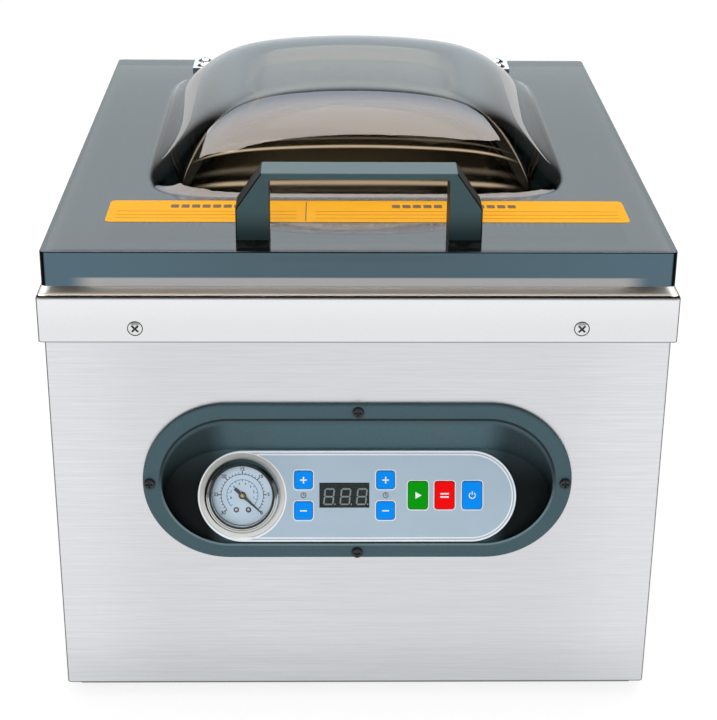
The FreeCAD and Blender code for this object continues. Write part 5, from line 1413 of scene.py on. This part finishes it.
@dataclass
class DomedLid:
    """Thick acrylic lid with its blown dome, printed strip and bridge handle.

    Each run of heading blocks holds where it starts and how many blocks it has.
    """

    width: float = 324.8
    depth: float = 382.7
    front: float = -195.5
    bottom: float = 250.0
    thick: float = 19.0
    corner: float = 2.5
    edge: float = 0.6
    margin: float = 5.0
    cell: float = 1.8
    dome_half: Pair = (119.0, 128.0)
    dome_y: float = 18.0
    dome_h: float = 43.4
    wall: float = 9.0
    squareness: float = 8.0
    shoulder: float = 5.8
    crown: float = 0.36
    flare: float = 1.46
    label_x: Pair = (-134.2, 144.8)
    label_y: Pair = (-151.0, -116.6)
    label_corner: float = 3.0
    label_fold: float = -27.8
    rule_rows: tuple[float, ...] = (-134.0, -139.5, -145.0)
    rule_t: float = 0.7
    rule_inset: float = 5.0
    divider_t: float = 0.5
    divider_inset: float = 2.0
    heading_runs: tuple[tuple[float, int], ...] = ((-101.0, 7), (18.7, 5), (50.5, 2), (64.5, 4))
    heading_y: float = -125.8
    heading_block: Pair = (4.4, 5.2)
    heading_corner: float = 0.6
    heading_pitch: float = 5.7
    leaf_screws: tuple[Pair, ...] = ((101.3, 174.8), (101.3, 161.7))
    leaf_top: float = 271.5
    leaf_ring: Pair = (4.6, 0.55)
    handle_ease: float = 0.2

    def share(self, x: float, y: float, half: Pair) -> float:
        """Height of the dome over a point.

        Args:
            x: Millimetres from the lid's middle.
            y: Depth of the point.
            half: Half the dome's width and depth.

        Returns:
            The share of the dome's full height.
        """
        u = abs(x) / half[0]
        v = abs(y - self.dome_y) / half[1]
        reach = (u ** self.squareness + v ** self.squareness) ** (1 / self.squareness)
        if reach >= 1:
            return 0.0
        return (1 - reach ** self.shoulder) ** self.flare * (1 - self.crown * u ** 2)

    def spread(self, share: float, cells: int, size: float) -> float:
        """Place of a grid line, with a margin left at each end for the rounded corners.

        Args:
            share: Place on the even grid, from -1 to 1.
            cells: Number of cells in the grid.
            size: Full size of the plate that way.

        Returns:
            The place in millimetres from the plate's middle.
        """
        inner = 1 - 2 / cells
        if abs(share) <= inner + NEAR:
            return share / inner * (size / 2 - self.margin)
        return math.copysign(size / 2, share)

    def shell(self) -> Piece:
        """Mould the plate and its hollow dome from one fine grid.

        Returns:
            The shell.
        """
        across, along = (round((size - 2 * self.margin) / self.cell) + 2 for size in (self.width, self.depth))
        piece = begin(bpy.ops.mesh.primitive_grid_add, x_subdivisions=across, y_subdivisions=along, size=2.0)
        lower_sheet = -1.0
        with editing(piece):
            choose_all()
            extrude(lower_sheet)
        inner_half = (self.dome_half[0] - self.wall, self.dome_half[1] - self.wall)
        inner_h = self.thick + self.dome_h - self.wall
        mid_y = self.front + self.depth / 2
        for vert in piece.data.vertices:
            x = self.spread(vert.co.x, across, self.width)
            y = self.spread(vert.co.y, along, self.depth) + mid_y
            if vert.co.z > lower_sheet / 2:
                z = self.bottom + self.thick + self.dome_h * self.share(x, y, self.dome_half)
            else:
                z = self.bottom + inner_h * self.share(x, y, inner_half)
            vert.co = (x * MM, y * MM, z * MM)
        self.round_rims(piece)
        return smooth(piece, SOFT_ANGLE)

    def round_rims(self, piece: Piece) -> None:
        """Round the plate's upright corners, and then the rims of its top and bottom.

        Args:
            piece: Shell with sharp edges.
        """
        half = self.width / 2 * MM
        ends = (self.front * MM, (self.front + self.depth) * MM)

        def upright(edge: bmesh.types.BMEdge) -> bool:
            """Tell whether an edge is one of the plate's four upright corners.

            Args:
                edge: Edge of the shell.

            Returns:
                Whether it is one.
            """
            first, second = (vert.co for vert in edge.verts)
            point = (first + second) / 2
            tall = abs(first.z - second.z) > self.thick / 2 * MM
            return tall and abs(abs(point.x) - half) < NEAR and min(abs(point.y - end) for end in ends) < NEAR

        def rim(edge: bmesh.types.BMEdge) -> bool:
            """Whether an edge runs round the plate's top or bottom."""
            ups = [abs(face.normal.z) for face in edge.link_faces]
            return len(ups) == 2 and max(ups) > LEVEL_NORMAL and min(ups) < UPRIGHT_NORMAL

        with editing(piece):
            face_outwards()
            round_edges(piece, upright, self.corner, ROUND_STEPS)
            bmesh.from_edit_mesh(piece.data).normal_update()
            round_edges(piece, rim, self.edge, EASE_STEPS)

    def label(self) -> None:
        """Lay the plain orange strip with its fine rules, heading blocks and dividing line."""
        left, right = self.label_x
        front, rear = self.label_y
        mid_y = (front + rear) / 2
        low = self.bottom + self.thick + PRINT_LIFT
        level = low + PRINT_T
        strip = Print.slab(right - left, rear - front, self.label_corner)
        settle(strip, shift((left + right) / 2, mid_y, low))
        fit(strip, "label_strip", "lid", INK_ORANGE)
        rules = []
        for start, end in ((left, self.label_fold), (self.label_fold, right)):
            for row in self.rule_rows:
                rule = Print.slab(end - start - 2 * self.rule_inset, self.rule_t, thick=FINE_PRINT_T)
                rules.append(settle(rule, shift((start + end) / 2, row, level)))
        fit(joined(rules), "label_rules", "lid", INK_AMBER)
        blocks = []
        for start, count in self.heading_runs:
            for index in range(count):
                block = Print.slab(*self.heading_block, self.heading_corner, FINE_PRINT_T)
                x = start + index * self.heading_pitch + self.heading_block[0] / 2
                blocks.append(settle(block, shift(x, self.heading_y, level)))
        fit(joined(blocks), "label_heading_blocks", "lid", INK_UMBER)
        divider = Print.slab(self.divider_t, rear - front - 2 * self.divider_inset, thick=FINE_PRINT_T)
        settle(divider, shift(self.label_fold, mid_y, level))
        fit(divider, "label_divider", "lid", INK_BLACK_AND_SHADE)

    def leaf_shadows(self) -> None:
        """Paint shade as a dark line round the head of every screw in the hinges' leaves."""
        lines = []
        for x, y in self.leaf_screws:
            for side in (-1, 1):
                seat = shift(side * x, y, self.leaf_top + PRINT_LIFT)
                lines.append(settle(Print.ring(*self.leaf_ring), seat))
        fit(joined(lines), "leaf_screw_shadows", "lid", SCREW_BLACK_AND_SHADE)

    def build(self) -> None:
        """Make the shell, the strip, the screws' painted shadow lines and the handle with eased edges."""
        fit(self.shell(), "lid_clear_shell", "lid", LID_SMOKE, ["lid_shell"])
        self.label()
        self.leaf_shadows()
        handle = smooth(eased(copy_of("lid_handle"), self.handle_ease, EASE_STEPS), MOULDED_ANGLE)
        fit(handle, "lid_bridge_handle", "lid", HANDLE_SLATE, ["lid_handle"])


@dataclass
class Chamber:
    """Soft pieces round and over the vacuum chamber."""

    gasket_x: float = 151.0
    gasket_y: Pair = (-186.5, 151.0)
    gasket_z: Pair = (245.5, 249.7)
    gasket_w: float = 9.0
    gasket_corner: float = 20.0
    gasket_round: float = 0.8
    pad_crown: float = 1.2

    def gasket(self) -> None:
        """Make the gasket ring with a rounded crest."""
        front, rear = self.gasket_y
        low, high = self.gasket_z
        level = (high - low) * MM

        def crest(edge: bmesh.types.BMEdge) -> bool:
            """Whether an edge bounds the ring's top."""
            flat = all(abs(vert.co.z - level) < NEAR for vert in edge.verts)
            return flat and any(abs(face.normal.z) < UPRIGHT_NORMAL for face in edge.link_faces)

        ring = Print.sheet(2 * self.gasket_x, rear - front, self.gasket_corner)
        Print.hollow(ring, self.gasket_w, high - low)
        with editing(ring):
            round_edges(ring, crest, self.gasket_round, ROUND_STEPS)
        settle(ring, shift(0, (front + rear) / 2, low))
        smooth(ring, SOFT_ANGLE)
        fit(ring, "gasket_ring", "base", GASKET_PALE, ["lid_gasket"])

    def pad(self) -> None:
        """Make the sealing pad with a rounded face."""
        pad = smooth(eased(copy_of("seal_pad"), self.pad_crown, ROUND_STEPS), SOFT_ANGLE)
        fit(pad, "sealing_pad", "lid", PAD_RED, ["seal_pad"])

    def build(self) -> None:
        """Make the gasket and the pad."""
        self.gasket()
        self.pad()


@dataclass
class ControlPanel:
    """Printed plate with keys and display in its moulded bezel.

    A ring holds its radius and its line, a bar its width and its height, and a timer's hand also where it
    stands beside the timer's middle.
    """

    plane: PanelPlane = field(default_factory=PanelPlane)
    plate_w: float = 173.0
    plate_h: float = 49.9
    plate_t: float = 2.0
    trims: tuple[Pair, ...] = ((0.15, 0.8), (1.75, 0.7))
    gauge_x: float = -62.4
    gauge_ring: Pair = (24.1, 0.9)
    row_up: float = 0.6
    small_key: float = 9.8
    small_up: float = 8.4
    small_x: dict[str, float] = field(default_factory=lambda: {"vac_time": -29.2, "seal_time": 15.4})
    large_key: Pair = (10.6, 15.2)
    large_x: dict[str, float] = field(default_factory=lambda: {"start": 33.0, "seal": 47.5, "power": 62.5})
    large_slots: dict[str, str] = field(
        default_factory=lambda: {"start": "key_green", "seal": "key_red", "power": "key_blue"})
    key_corner: float = 1.4
    key_fit: float = 0.3
    key_line: float = 0.5
    timer_ring: Pair = (1.5, 0.3)
    timer_hands: tuple[tuple[Pair, Pair], ...] = (((0.3, 1.0), (0.0, 0.4)), ((0.7, 0.3), (0.3, 0.0)))
    sign: float = 3.7
    sign_line: float = 0.7
    start_arrow: tuple[Pair, ...] = ((-1.4, -1.9), (2.0, 0.0), (-1.4, 1.9))
    seal_bar: Pair = (4.6, 0.8)
    seal_bar_up: float = 0.9
    power_ring: Pair = (1.9, 0.5)
    power_ends: Pair = (125.0, 415.0)
    power_stem: Pair = (0.5, 1.9)
    power_stem_up: float = 1.25
    display_x: float = -7.0
    display_size: Pair = (27.2, 13.8)
    digit_pitch: float = 8.9
    digit_shift: float = 0.6
    digit_up: float = -0.3
    digit_size: Pair = (4.9, 8.4)
    digit_line: float = 0.8
    digit_gap: float = 0.12
    digit_lean: float = 0.10
    point_gap: float = 1.1
    pane_fit: float = 0.3
    pane_corner: float = 0.2
    pane_t: float = 0.45
    pane_lift: float = 0.3
    bezel_ease: float = 0.45
    mouth: Pair = (210.0, 74.1)
    mouth_place: Triple = (0.0, -197.8, 137.85)
    bead_w: float = 1.3
    bead_h: float = 0.5

    def on_plate(self, piece: Piece, x: float, up: float, out: float) -> Piece:
        """Settle a flat mark on the panel."""
        return settle(piece, self.plane.place(x, up, out))

    def trim(self) -> None:
        """Print the white lines round the plate and the ring round the gauge."""
        out = self.plate_t + PRINT_LIFT
        marks = []
        for inset, line in self.trims:
            outline = Print.stadium(self.plate_w - 2 * inset, self.plate_h - 2 * inset, line)
            marks.append(self.on_plate(outline, 0, 0, out))
        marks.append(self.on_plate(Print.ring(*self.gauge_ring), self.gauge_x, 0, out + PRINT_LIFT))
        fit(joined(marks), "plate_trim_lines", "base", INK_WHITE)

    def clock_marks(self) -> None:
        """Print a plain timer sign between each pair of small keys."""
        out = self.plate_t + PRINT_LIFT
        marks = []
        for x in self.small_x.values():
            marks.append(self.on_plate(Print.ring(*self.timer_ring), x, self.row_up, out))
            for bar, (aside, up) in self.timer_hands:
                marks.append(self.on_plate(Print.slab(*bar), x + aside, self.row_up + up, out))
        fit(joined(marks), "timer_signs", "base", INK_BLACK_AND_SHADE)

    def key_borders(self) -> None:
        """Print a white line round every key's opening."""
        grown = 2 * (self.key_fit + self.key_line)
        corner = self.key_corner + self.key_fit + self.key_line
        small = (self.small_key, self.small_key)
        spots = []
        for x in self.small_x.values():
            spots += [(x, self.row_up + side * self.small_up, small) for side in (-1, 1)]
        spots += [(x, self.row_up, self.large_key) for x in self.large_x.values()]
        marks = []
        for x, up, (width, height) in spots:
            line = Print.hollow(Print.sheet(width + grown, height + grown, corner), self.key_line)
            marks.append(self.on_plate(line, x, up, self.plate_t + PRINT_LIFT))
        fit(joined(marks), "key_border_lines", "base", INK_WHITE)

    def small_keys(self) -> None:
        """Print a plus or a minus on every small key."""
        arm = (self.sign - self.sign_line) / 2
        for name, x in self.small_x.items():
            for sign, side in (("plus", 1), ("minus", -1)):
                body = f"{name}_{sign}_key"
                up = self.row_up + side * self.small_up
                out = self.plane.top_of(body) + PRINT_LIFT
                marks = [self.on_plate(Print.slab(self.sign, self.sign_line), x, up, out)]
                if sign == "plus":
                    for end in (-1, 1):
                        arm_up = up + end * (arm + self.sign_line) / 2
                        marks.append(self.on_plate(Print.slab(self.sign_line, arm), x, arm_up, out))
                fit(joined(marks), body + "_print", body, INK_WHITE)

    def large_keys(self) -> None:
        """Print the sign of every large key."""
        for name, x in self.large_x.items():
            body = f"{name}_key"
            out = self.plane.top_of(body) + PRINT_LIFT
            marks = [self.on_plate(mark, x, self.row_up, out) for mark in self.large_signs(name)]
            fit(joined(marks), body + "_print", body, INK_WHITE)

    def large_signs(self, name: str) -> list[Piece]:
        """Draw the plain sign of a large key: a start arrow, two pressed bars, or the power sign.

        Args:
            name: Name of the key.

        Returns:
            The sign's flat pieces.
        """
        if name == "start":
            return [Print.polygon(self.start_arrow)]
        if name == "seal":
            ups = (-self.seal_bar_up, self.seal_bar_up)
            return [settle(Print.slab(*self.seal_bar), shift(0, up, 0)) for up in ups]
        stem = settle(Print.slab(*self.power_stem), shift(0, self.power_stem_up, 0))
        return [Print.arc(*self.power_ring, *self.power_ends), stem]

    def digit(self) -> list[list[Pair]]:
        """Draw the seven bars of a figure and its point, leaning to the right.

        Returns:
            The outline of each.
        """
        half_w, half_h = (size / 2 for size in self.digit_size)
        half = self.digit_line / 2
        bars = []
        for up in (-half_h, 0.0, half_h):
            left, right = -half_w + self.digit_gap, half_w - self.digit_gap
            bars.append([(left, up), (left + half, up - half), (right - half, up - half), (right, up),
                         (right - half, up + half), (left + half, up + half)])
        for x in (-half_w, half_w):
            for low in (-half_h, 0.0):
                bottom, top = low + self.digit_gap, low + half_h - self.digit_gap
                bars.append([(x, bottom), (x + half, bottom + half), (x + half, top - half), (x, top),
                             (x - half, top - half), (x - half, bottom + half)])
        point = half_w + self.point_gap
        bars.append([(point - half, -half_h - half), (point + half, -half_h - half),
                     (point + half, -half_h + half), (point - half, -half_h + half)])
        return [[(x + y * self.digit_lean, y) for x, y in bar] for bar in bars]

    def display(self) -> None:
        """Set three unlit figures under a clear pane."""
        out = self.plane.top_of("display_module") + PRINT_LIFT
        bars = []
        for place in (-1, 0, 1):
            x = self.display_x + place * self.digit_pitch + self.digit_shift
            for outline in self.digit():
                bars.append(self.on_plate(Print.polygon(outline), x, self.digit_up, out))
        fit(joined(bars), "display_figures", "base", SEGMENT_GREY)
        width, height = (size - self.pane_fit for size in self.display_size)
        pane = Print.slab(width, height, self.pane_corner, self.pane_t)
        self.on_plate(pane, self.display_x, self.row_up, out + self.pane_lift)
        fit(pane, "display_clear_pane", "base", DISPLAY_PANE, ["display_window"])
        pane.visible_shadow = False

    def bezel(self) -> None:
        """Make the bezel with eased edges, and the bead round its mouth."""
        bezel = smooth(eased(copy_of("panel_bezel"), self.bezel_ease, EASE_STEPS), MOULDED_ANGLE)
        fit(bezel, "panel_bezel_moulding", "base", BEZEL_SLATE, ["panel_bezel"])
        width, height = (size + 2 * self.bead_w for size in self.mouth)
        bead = eased(Print.stadium(width, height, self.bead_w, self.bead_h), self.bead_h / 2, EASE_STEPS)
        settle(bead, shift(*self.mouth_place) @ rotation(90, "X"))
        smooth(bead, SOFT_ANGLE)
        fit(bead, "pocket_mouth_bead", "base", BEZEL_BEAD)

    def build(self) -> None:
        """Make the bezel and print the plate, the keys and the display."""
        self.bezel()
        self.trim()
        self.clock_marks()
        self.key_borders()
        self.small_keys()
        self.large_keys()
        self.display()


@dataclass
class VacuumGauge:
    """Round gauge: rolled ring, printed dial, and a brass cap on the needle.

    A profile holds the radius and the height of each ring, a tick its length and its width.
    """

    plane: PanelPlane = field(default_factory=PanelPlane)
    x: float = -62.4
    up: float = 0.6
    ring_profile: tuple[Pair, ...] = (
        (16.5, 3.5), (20.6, 3.5), (20.6, 4.4), (20.5, 5.2), (20.2, 5.95), (19.75, 6.6), (19.15, 7.15),
        (18.6, 7.45), (18.4, 7.35), (18.2, 7.45), (17.8, 7.75), (17.4, 7.9), (17.0, 7.85), (16.7, 7.6),
        (16.5, 7.2))
    ring_angle: float = 50.0
    collar_profile: tuple[Pair, ...] = ((23.1, 2.03), (23.1, 2.2), (20.9, 3.3), (20.7, 3.3), (20.7, 2.03))
    ring_sides: int = 128
    lip_ring: Pair = (17.7, 1.1)
    lip_out: float = 7.92
    zero: float = -43.0
    sweep: float = 266.0
    black_r: float = 11.6
    black_line: float = 0.3
    black_steps: int = 6
    black_parts: int = 5
    step_value: int = 5
    long_tick: Pair = (1.7, 0.5)
    short_tick: Pair = (0.9, 0.32)
    tick_root: float = 0.1
    figure_r: float = 14.2
    figure_size: float = 2.6
    teal_r: float = 8.6
    teal_line: float = 0.26
    teal_steps: int = 20
    long_teal_tick: Pair = (1.2, 0.3)
    short_teal_tick: Pair = (0.7, 0.3)
    teal_figures: int = 8
    teal_figure_r: float = 6.4
    teal_figure_size: float = 1.82
    screw_x: Pair = (-3.3, 3.3)
    screw_up: float = -8.0
    screw_ring: Pair = (1.5, 0.45)
    screw_profile: tuple[Pair, ...] = ((1.0, 0.0), (1.0, 0.25), (0.75, 0.45), (0.4, 0.45), (0.3, 0.25))
    cap_profile: tuple[Pair, ...] = ((1.25, 0.0), (1.25, 0.25), (0.9, 0.6), (0.4, 0.75))
    small_sides: int = 24

    def centred(self, piece: Piece, out: float, x: float = 0.0, up: float = 0.0) -> Piece:
        """Settle a piece on the gauge's axis, or beside it."""
        return settle(piece, self.plane.place(self.x + x, self.up + up, out))

    def on_dial(self, piece: Piece, share: float, radius: float, out: float, upright: bool = False) -> Piece:
        """Settle a mark on the dial.

        Args:
            piece: Flat mark.
            share: Share of the scale's sweep where it stands.
            radius: Its distance from the dial's middle.
            out: How far it lies out of the plate's seat.
            upright: Whether it stays upright, or turns along the radius.

        Returns:
            The mark.
        """
        angle = self.zero + self.sweep * share
        x = self.x + radius * math.cos(math.radians(angle))
        up = self.up + radius * math.sin(math.radians(angle))
        return settle(piece, self.plane.place(x, up, out, 0.0 if upright else angle))

    def black_scale(self, out: float) -> None:
        """Print the outer scale with its ticks and figures, and paint shadows round the dial's screws.

        Args:
            out: How far the print lies out of the plate's seat.
        """
        arc = Print.arc(self.black_r, self.black_line, self.zero, self.zero + self.sweep)
        marks = [self.centred(arc, out)]
        ticks = self.black_steps * self.black_parts
        for tick in range(ticks + 1):
            length, width = self.short_tick if tick % self.black_parts else self.long_tick
            radius = self.black_r + length / 2 - self.tick_root
            marks.append(self.on_dial(Print.slab(length, width), tick / ticks, radius, out))
        # painted shadows round the dial's screws, in the black ink
        for x in self.screw_x:
            marks.append(self.centred(Print.ring(*self.screw_ring), out, x, self.screw_up))
        for step in range(self.black_steps + 1):
            figures = Print.numeral(str(self.step_value * step), self.figure_size)
            marks.append(self.on_dial(figures, step / self.black_steps, self.figure_r, out, True))
        fit(joined(marks), "dial_black_scale_and_screw_shadows", "base", INK_BLACK_AND_SHADE)

    def teal_scale(self, out: float) -> None:
        """Print the inner scale with its ticks and figures.

        Args:
            out: How far the print lies out of the plate's seat.
        """
        arc = Print.arc(self.teal_r, self.teal_line, self.zero, self.zero + self.sweep)
        marks = [self.centred(arc, out)]
        for tick in range(self.teal_steps + 1):
            length, width = self.short_teal_tick if tick % 2 else self.long_teal_tick
            radius = self.teal_r - length / 2
            marks.append(self.on_dial(Print.slab(length, width), tick / self.teal_steps, radius, out))
        for number in range(1, self.teal_figures + 1):
            figure = Print.numeral(str(number), self.teal_figure_size)
            share = number / (self.teal_figures + 1)
            marks.append(self.on_dial(figure, share, self.teal_figure_r, out, True))
        fit(joined(marks), "dial_teal_scale", "base", INK_TEAL)

    def screws(self) -> None:
        """Set the dial's two small screws."""
        out = self.plane.top_of("gauge_dial")
        heads = []
        for x in self.screw_x:
            head = turned(self.screw_profile, self.small_sides, False)
            heads.append(self.centred(head, out, x, self.screw_up))
        fit(joined(heads), "dial_screws", "base", STEEL_SCREW)

    def needle_cap(self) -> None:
        """Set the brass cap on the needle's hub."""
        cap = turned(self.cap_profile, self.small_sides, False)
        self.centred(cap, self.plane.top_of("gauge_needle"))
        fit(cap, "needle_brass_cap", "gauge_needle", BRASS)

    def build(self) -> None:
        """Make the ring with its collar and a flat dark ring on its inner crest, the dial's print, its screws
        and the needle's cap.
        """
        collar = self.centred(turned(self.collar_profile, self.ring_sides, True), 0)
        fit(collar, "gauge_collar", "base", COLLAR_SILVER)
        ring = self.centred(turned(self.ring_profile, self.ring_sides, True), 0)
        smooth(ring, self.ring_angle)
        fit(ring, "gauge_rolled_ring", "base", GAUGE_CHROME, ["gauge_bezel"])
        # a flat black ring laid on the rolled ring's inner crest, darkening the edge round the dial
        lip = self.centred(Print.ring(*self.lip_ring), self.lip_out)
        fit(lip, "gauge_dark_inner_ring", "base", GAUGE_ENAMEL)
        frame["nodes"]["gauge_glass"].visible_shadow = False
        out = self.plane.top_of("gauge_dial") + PRINT_LIFT
        self.black_scale(out)
        self.teal_scale(out)
        self.screws()
        self.needle_cap()


class Carried:
    """CAD nodes that keep their own shape."""

    @staticmethod
    def dress() -> None:
        """Give every CAD node the finish of its slot."""
        for part in frame["record"]["subparts"]:
            node = frame["nodes"][part["node"]]
            node.data.materials.clear()
            node.data.materials.append(SLOT_FINISHES[part["material_slot"]].material())
            log.info("node %s in %s", part["node"], part["material_slot"])


@dataclass(frozen=True)
class Lamp:
    """Soft rectangular lamp that shows in no mirror, with places and sizes in metres and power in watts."""

    name: str
    place: Triple
    aim: Triple
    size: Pair
    power: float

    def hang(self) -> None:
        """Hang the lamp, facing the point that it lights."""
        data = bpy.data.lights.new(self.name, "AREA")
        data.shape = "RECTANGLE"
        data.size, data.size_y = self.size
        data.energy = self.power
        lamp = bpy.data.objects.new(self.name, data)
        lamp.location = self.place
        lamp.rotation_euler = (Vector(self.aim) - Vector(self.place)).to_track_quat("-Z", "Y").to_euler()
        lamp.visible_glossy = False
        bpy.context.scene.collection.objects.link(lamp)


@dataclass
class Studio:
    """Floor, world, lamps and camera.

    The camera's eye, lens and sensor and the card's outline are in millimetres, and the angles in degrees.
    The world's limits are parts of a direction, and the other lengths are in metres.
    """

    eye: Triple = (-16.05, -1046.96, 588.87)
    yaw: float = 1.076
    pitch: float = 24.040
    roll: float = 0.470
    lens: float = 89.535
    sensor: float = 36.0
    clip: Pair = (0.02, 60.0)
    floor_size: float = 16.0
    floor_white: Colour = (0.88, 0.88, 0.88)
    floor_seen: Colour = (0.30, 0.30, 0.30)
    floor_glow: float = 0.80
    world_level: float = 0.62
    world_white: Colour = (1.0, 1.0, 1.0)
    backdrop: float = 1.65
    backdrop_tint: Colour = (0.84, 0.94, 1.0)
    backdrop_back: Pair = (0.0, 0.3)
    backdrop_side: Pair = (0.38, 0.20)
    front_back: Pair = (-0.1, -0.5)
    front_wall: float = 0.30
    side_wall: float = 0.05
    overhead: float = 0.05
    wall_top: Pair = (0.36, 0.47)
    wall_foot: Pair = (0.27, 0.36)
    wall_foot_level: float = 0.78
    card_outline: tuple[Pair, ...] = (
        (-370.0, -250.0), (100.0, -200.0), (320.0, -80.0), (600.0, 210.0), (850.0, 600.0), (870.0, 1800.0),
        (720.0, 2270.0), (-800.0, 2350.0), (-1200.0, 1800.0), (-970.0, 690.0), (-850.0, 200.0))
    card_y: Pair = (-0.24, 2.27)
    card_z: float = 1.5
    card_glow: Pair = (9.2, 2.2)
    card_tints: tuple[Colour, Colour] = ((1.0, 0.90, 0.82), (0.80, 0.88, 1.0))
    lamps: tuple[Lamp, ...] = (
        Lamp("key_softbox", (-0.5, -2.2, 1.3), (0.0, 0.0, 0.2), (1.6, 1.2), 19.0),
        Lamp("top_softbox", (0.15, 0.15, 1.9), (0.0, -0.05, 0.2), (1.3, 0.9), 9.0))

    @staticmethod
    def stage_nodes(piece: Piece, name: str) -> tuple[NodeTree, Socket]:
        """Put an empty material on a stage piece.

        Args:
            piece: Stage piece that takes the material.
            name: Name of the material.

        Returns:
            The material's node tree and its surface input.
        """
        material = bpy.data.materials.new(name)
        material.use_nodes = True
        material.node_tree.nodes.clear()
        piece.data.materials.append(material)
        nodes = NodeTree(material.node_tree)
        return nodes, nodes.add("ShaderNodeOutputMaterial").inputs["Surface"]

    def floor(self) -> None:
        """Lay a pale floor that shows white with a soft shadow."""
        floor = begin(bpy.ops.mesh.primitive_plane_add, size=self.floor_size)
        floor.name = "studio_floor"
        nodes, surface = self.stage_nodes(floor, "studio_floor_white")
        path = nodes.add("ShaderNodeLightPath").outputs
        seen = nodes.most(path["Is Camera Ray"], path["Is Glossy Ray"], path["Is Transmission Ray"])
        paper = nodes.add("ShaderNodeBsdfDiffuse")
        nodes.link(nodes.blend(seen, self.floor_white, self.floor_seen), paper.inputs["Color"])
        glow = nodes.add("ShaderNodeEmission")
        nodes.link(nodes.product(seen, self.floor_glow), glow.inputs["Strength"])
        both = nodes.add("ShaderNodeAddShader")
        nodes.link(paper.outputs["BSDF"], both.inputs[0])
        nodes.link(glow.outputs["Emission"], both.inputs[1])
        nodes.link(both.outputs["Shader"], surface)

    def card(self) -> None:
        """Hang a large card overhead that shows in mirrors alone, dimmer towards its rear."""
        card = settle(Print.polygon(self.card_outline), Matrix.Translation((0, 0, self.card_z)))
        card.name = "studio_card"
        nodes, surface = self.stage_nodes(card, "studio_card_glow")
        depth = nodes.part_of(nodes.add("ShaderNodeTexCoord").outputs["Object"], Axis.BACK)
        glow = nodes.add("ShaderNodeEmission")
        nodes.link(nodes.span(depth, *self.card_y, *self.card_glow), glow.inputs["Strength"])
        nodes.link(nodes.blend(nodes.span(depth, *self.card_y), *self.card_tints), glow.inputs["Color"])
        nodes.link(glow.outputs["Emission"], surface)
        for view in ("camera", "diffuse", "transmission", "shadow"):
            setattr(card, "visible_" + view, False)

    def sky(self) -> None:
        """Light evenly all round, with a bright backdrop behind the object and dark overhead in mirrors."""
        world = bpy.data.worlds.new("studio_world")
        bpy.context.scene.world = world
        world.use_nodes = True
        world.node_tree.nodes.clear()
        nodes = NodeTree(world.node_tree)
        way = nodes.add("ShaderNodeTexCoord").outputs["Generated"]
        aside, back, up = (nodes.part_of(way, axis) for axis in (Axis.ASIDE, Axis.BACK, Axis.UP))
        path = nodes.add("ShaderNodeLightPath").outputs
        behind = nodes.product(nodes.span(back, *self.backdrop_back),
                               nodes.span(nodes.unsigned(aside), *self.backdrop_side))
        front = nodes.span(back, *self.front_back, self.side_wall, self.front_wall)
        wall = nodes.between(behind, front, self.backdrop)
        foot = nodes.span(up, *self.wall_foot, self.wall_foot_level, 1.0)
        mirrored = nodes.product(wall, nodes.span(up, *self.wall_top, 1.0, self.overhead),
                                 nodes.between(behind, 1.0, foot))
        seen = nodes.most(path["Is Camera Ray"], path["Is Transmission Ray"])
        plain = nodes.span(seen, 0.0, 1.0, self.world_level, 1.0)
        light = nodes.add("ShaderNodeBackground")
        nodes.link(nodes.between(path["Is Glossy Ray"], plain, mirrored), light.inputs["Strength"])
        tint = nodes.product(behind, path["Is Glossy Ray"])
        nodes.link(nodes.blend(tint, self.world_white, self.backdrop_tint), light.inputs["Color"])
        nodes.link(light.outputs["Background"], nodes.add("ShaderNodeOutputWorld").inputs["Surface"])

    def camera(self) -> None:
        """Stand the camera where the photograph was taken from."""
        yaw, pitch, roll = (math.radians(angle) for angle in (self.yaw, self.pitch, self.roll))
        ahead = Vector((math.sin(yaw) * math.cos(pitch), math.cos(yaw) * math.cos(pitch), -math.sin(pitch)))
        right = Vector((math.cos(yaw), -math.sin(yaw), 0))
        up = right.cross(ahead)
        rolled_right = right * math.cos(roll) + up * math.sin(roll)
        rolled_up = up * math.cos(roll) - right * math.sin(roll)
        data = bpy.data.cameras.new("photo_camera")
        data.lens = self.lens
        data.sensor_width = self.sensor
        data.clip_start, data.clip_end = self.clip
        camera = bpy.data.objects.new("photo_camera", data)
        axes = Matrix((rolled_right, rolled_up, -ahead)).transposed()
        camera.matrix_world = shift(*self.eye) @ axes.to_4x4()
        bpy.context.scene.collection.objects.link(camera)
        bpy.context.scene.camera = camera

    def build(self) -> None:
        """Set up the floor, the light and the camera."""
        self.floor()
        self.sky()
        self.card()
        for lamp in self.lamps:
            lamp.hang()
        self.camera()
        bpy.context.scene.view_settings.view_transform = "Standard"


def main() -> None:
    """Dress the CAD nodes, build every sub-assembly in order and set the studio."""
    logging.basicConfig(level=logging.INFO, format="%(message)s")
    Carried.dress()
    for assembly in (Sheetwork(), DomedLid(), Chamber(), ControlPanel(), VacuumGauge(), Studio()):
        log.info("building %s", type(assembly).__name__)
        assembly.build()


if __name__ == "__main__":
    main()
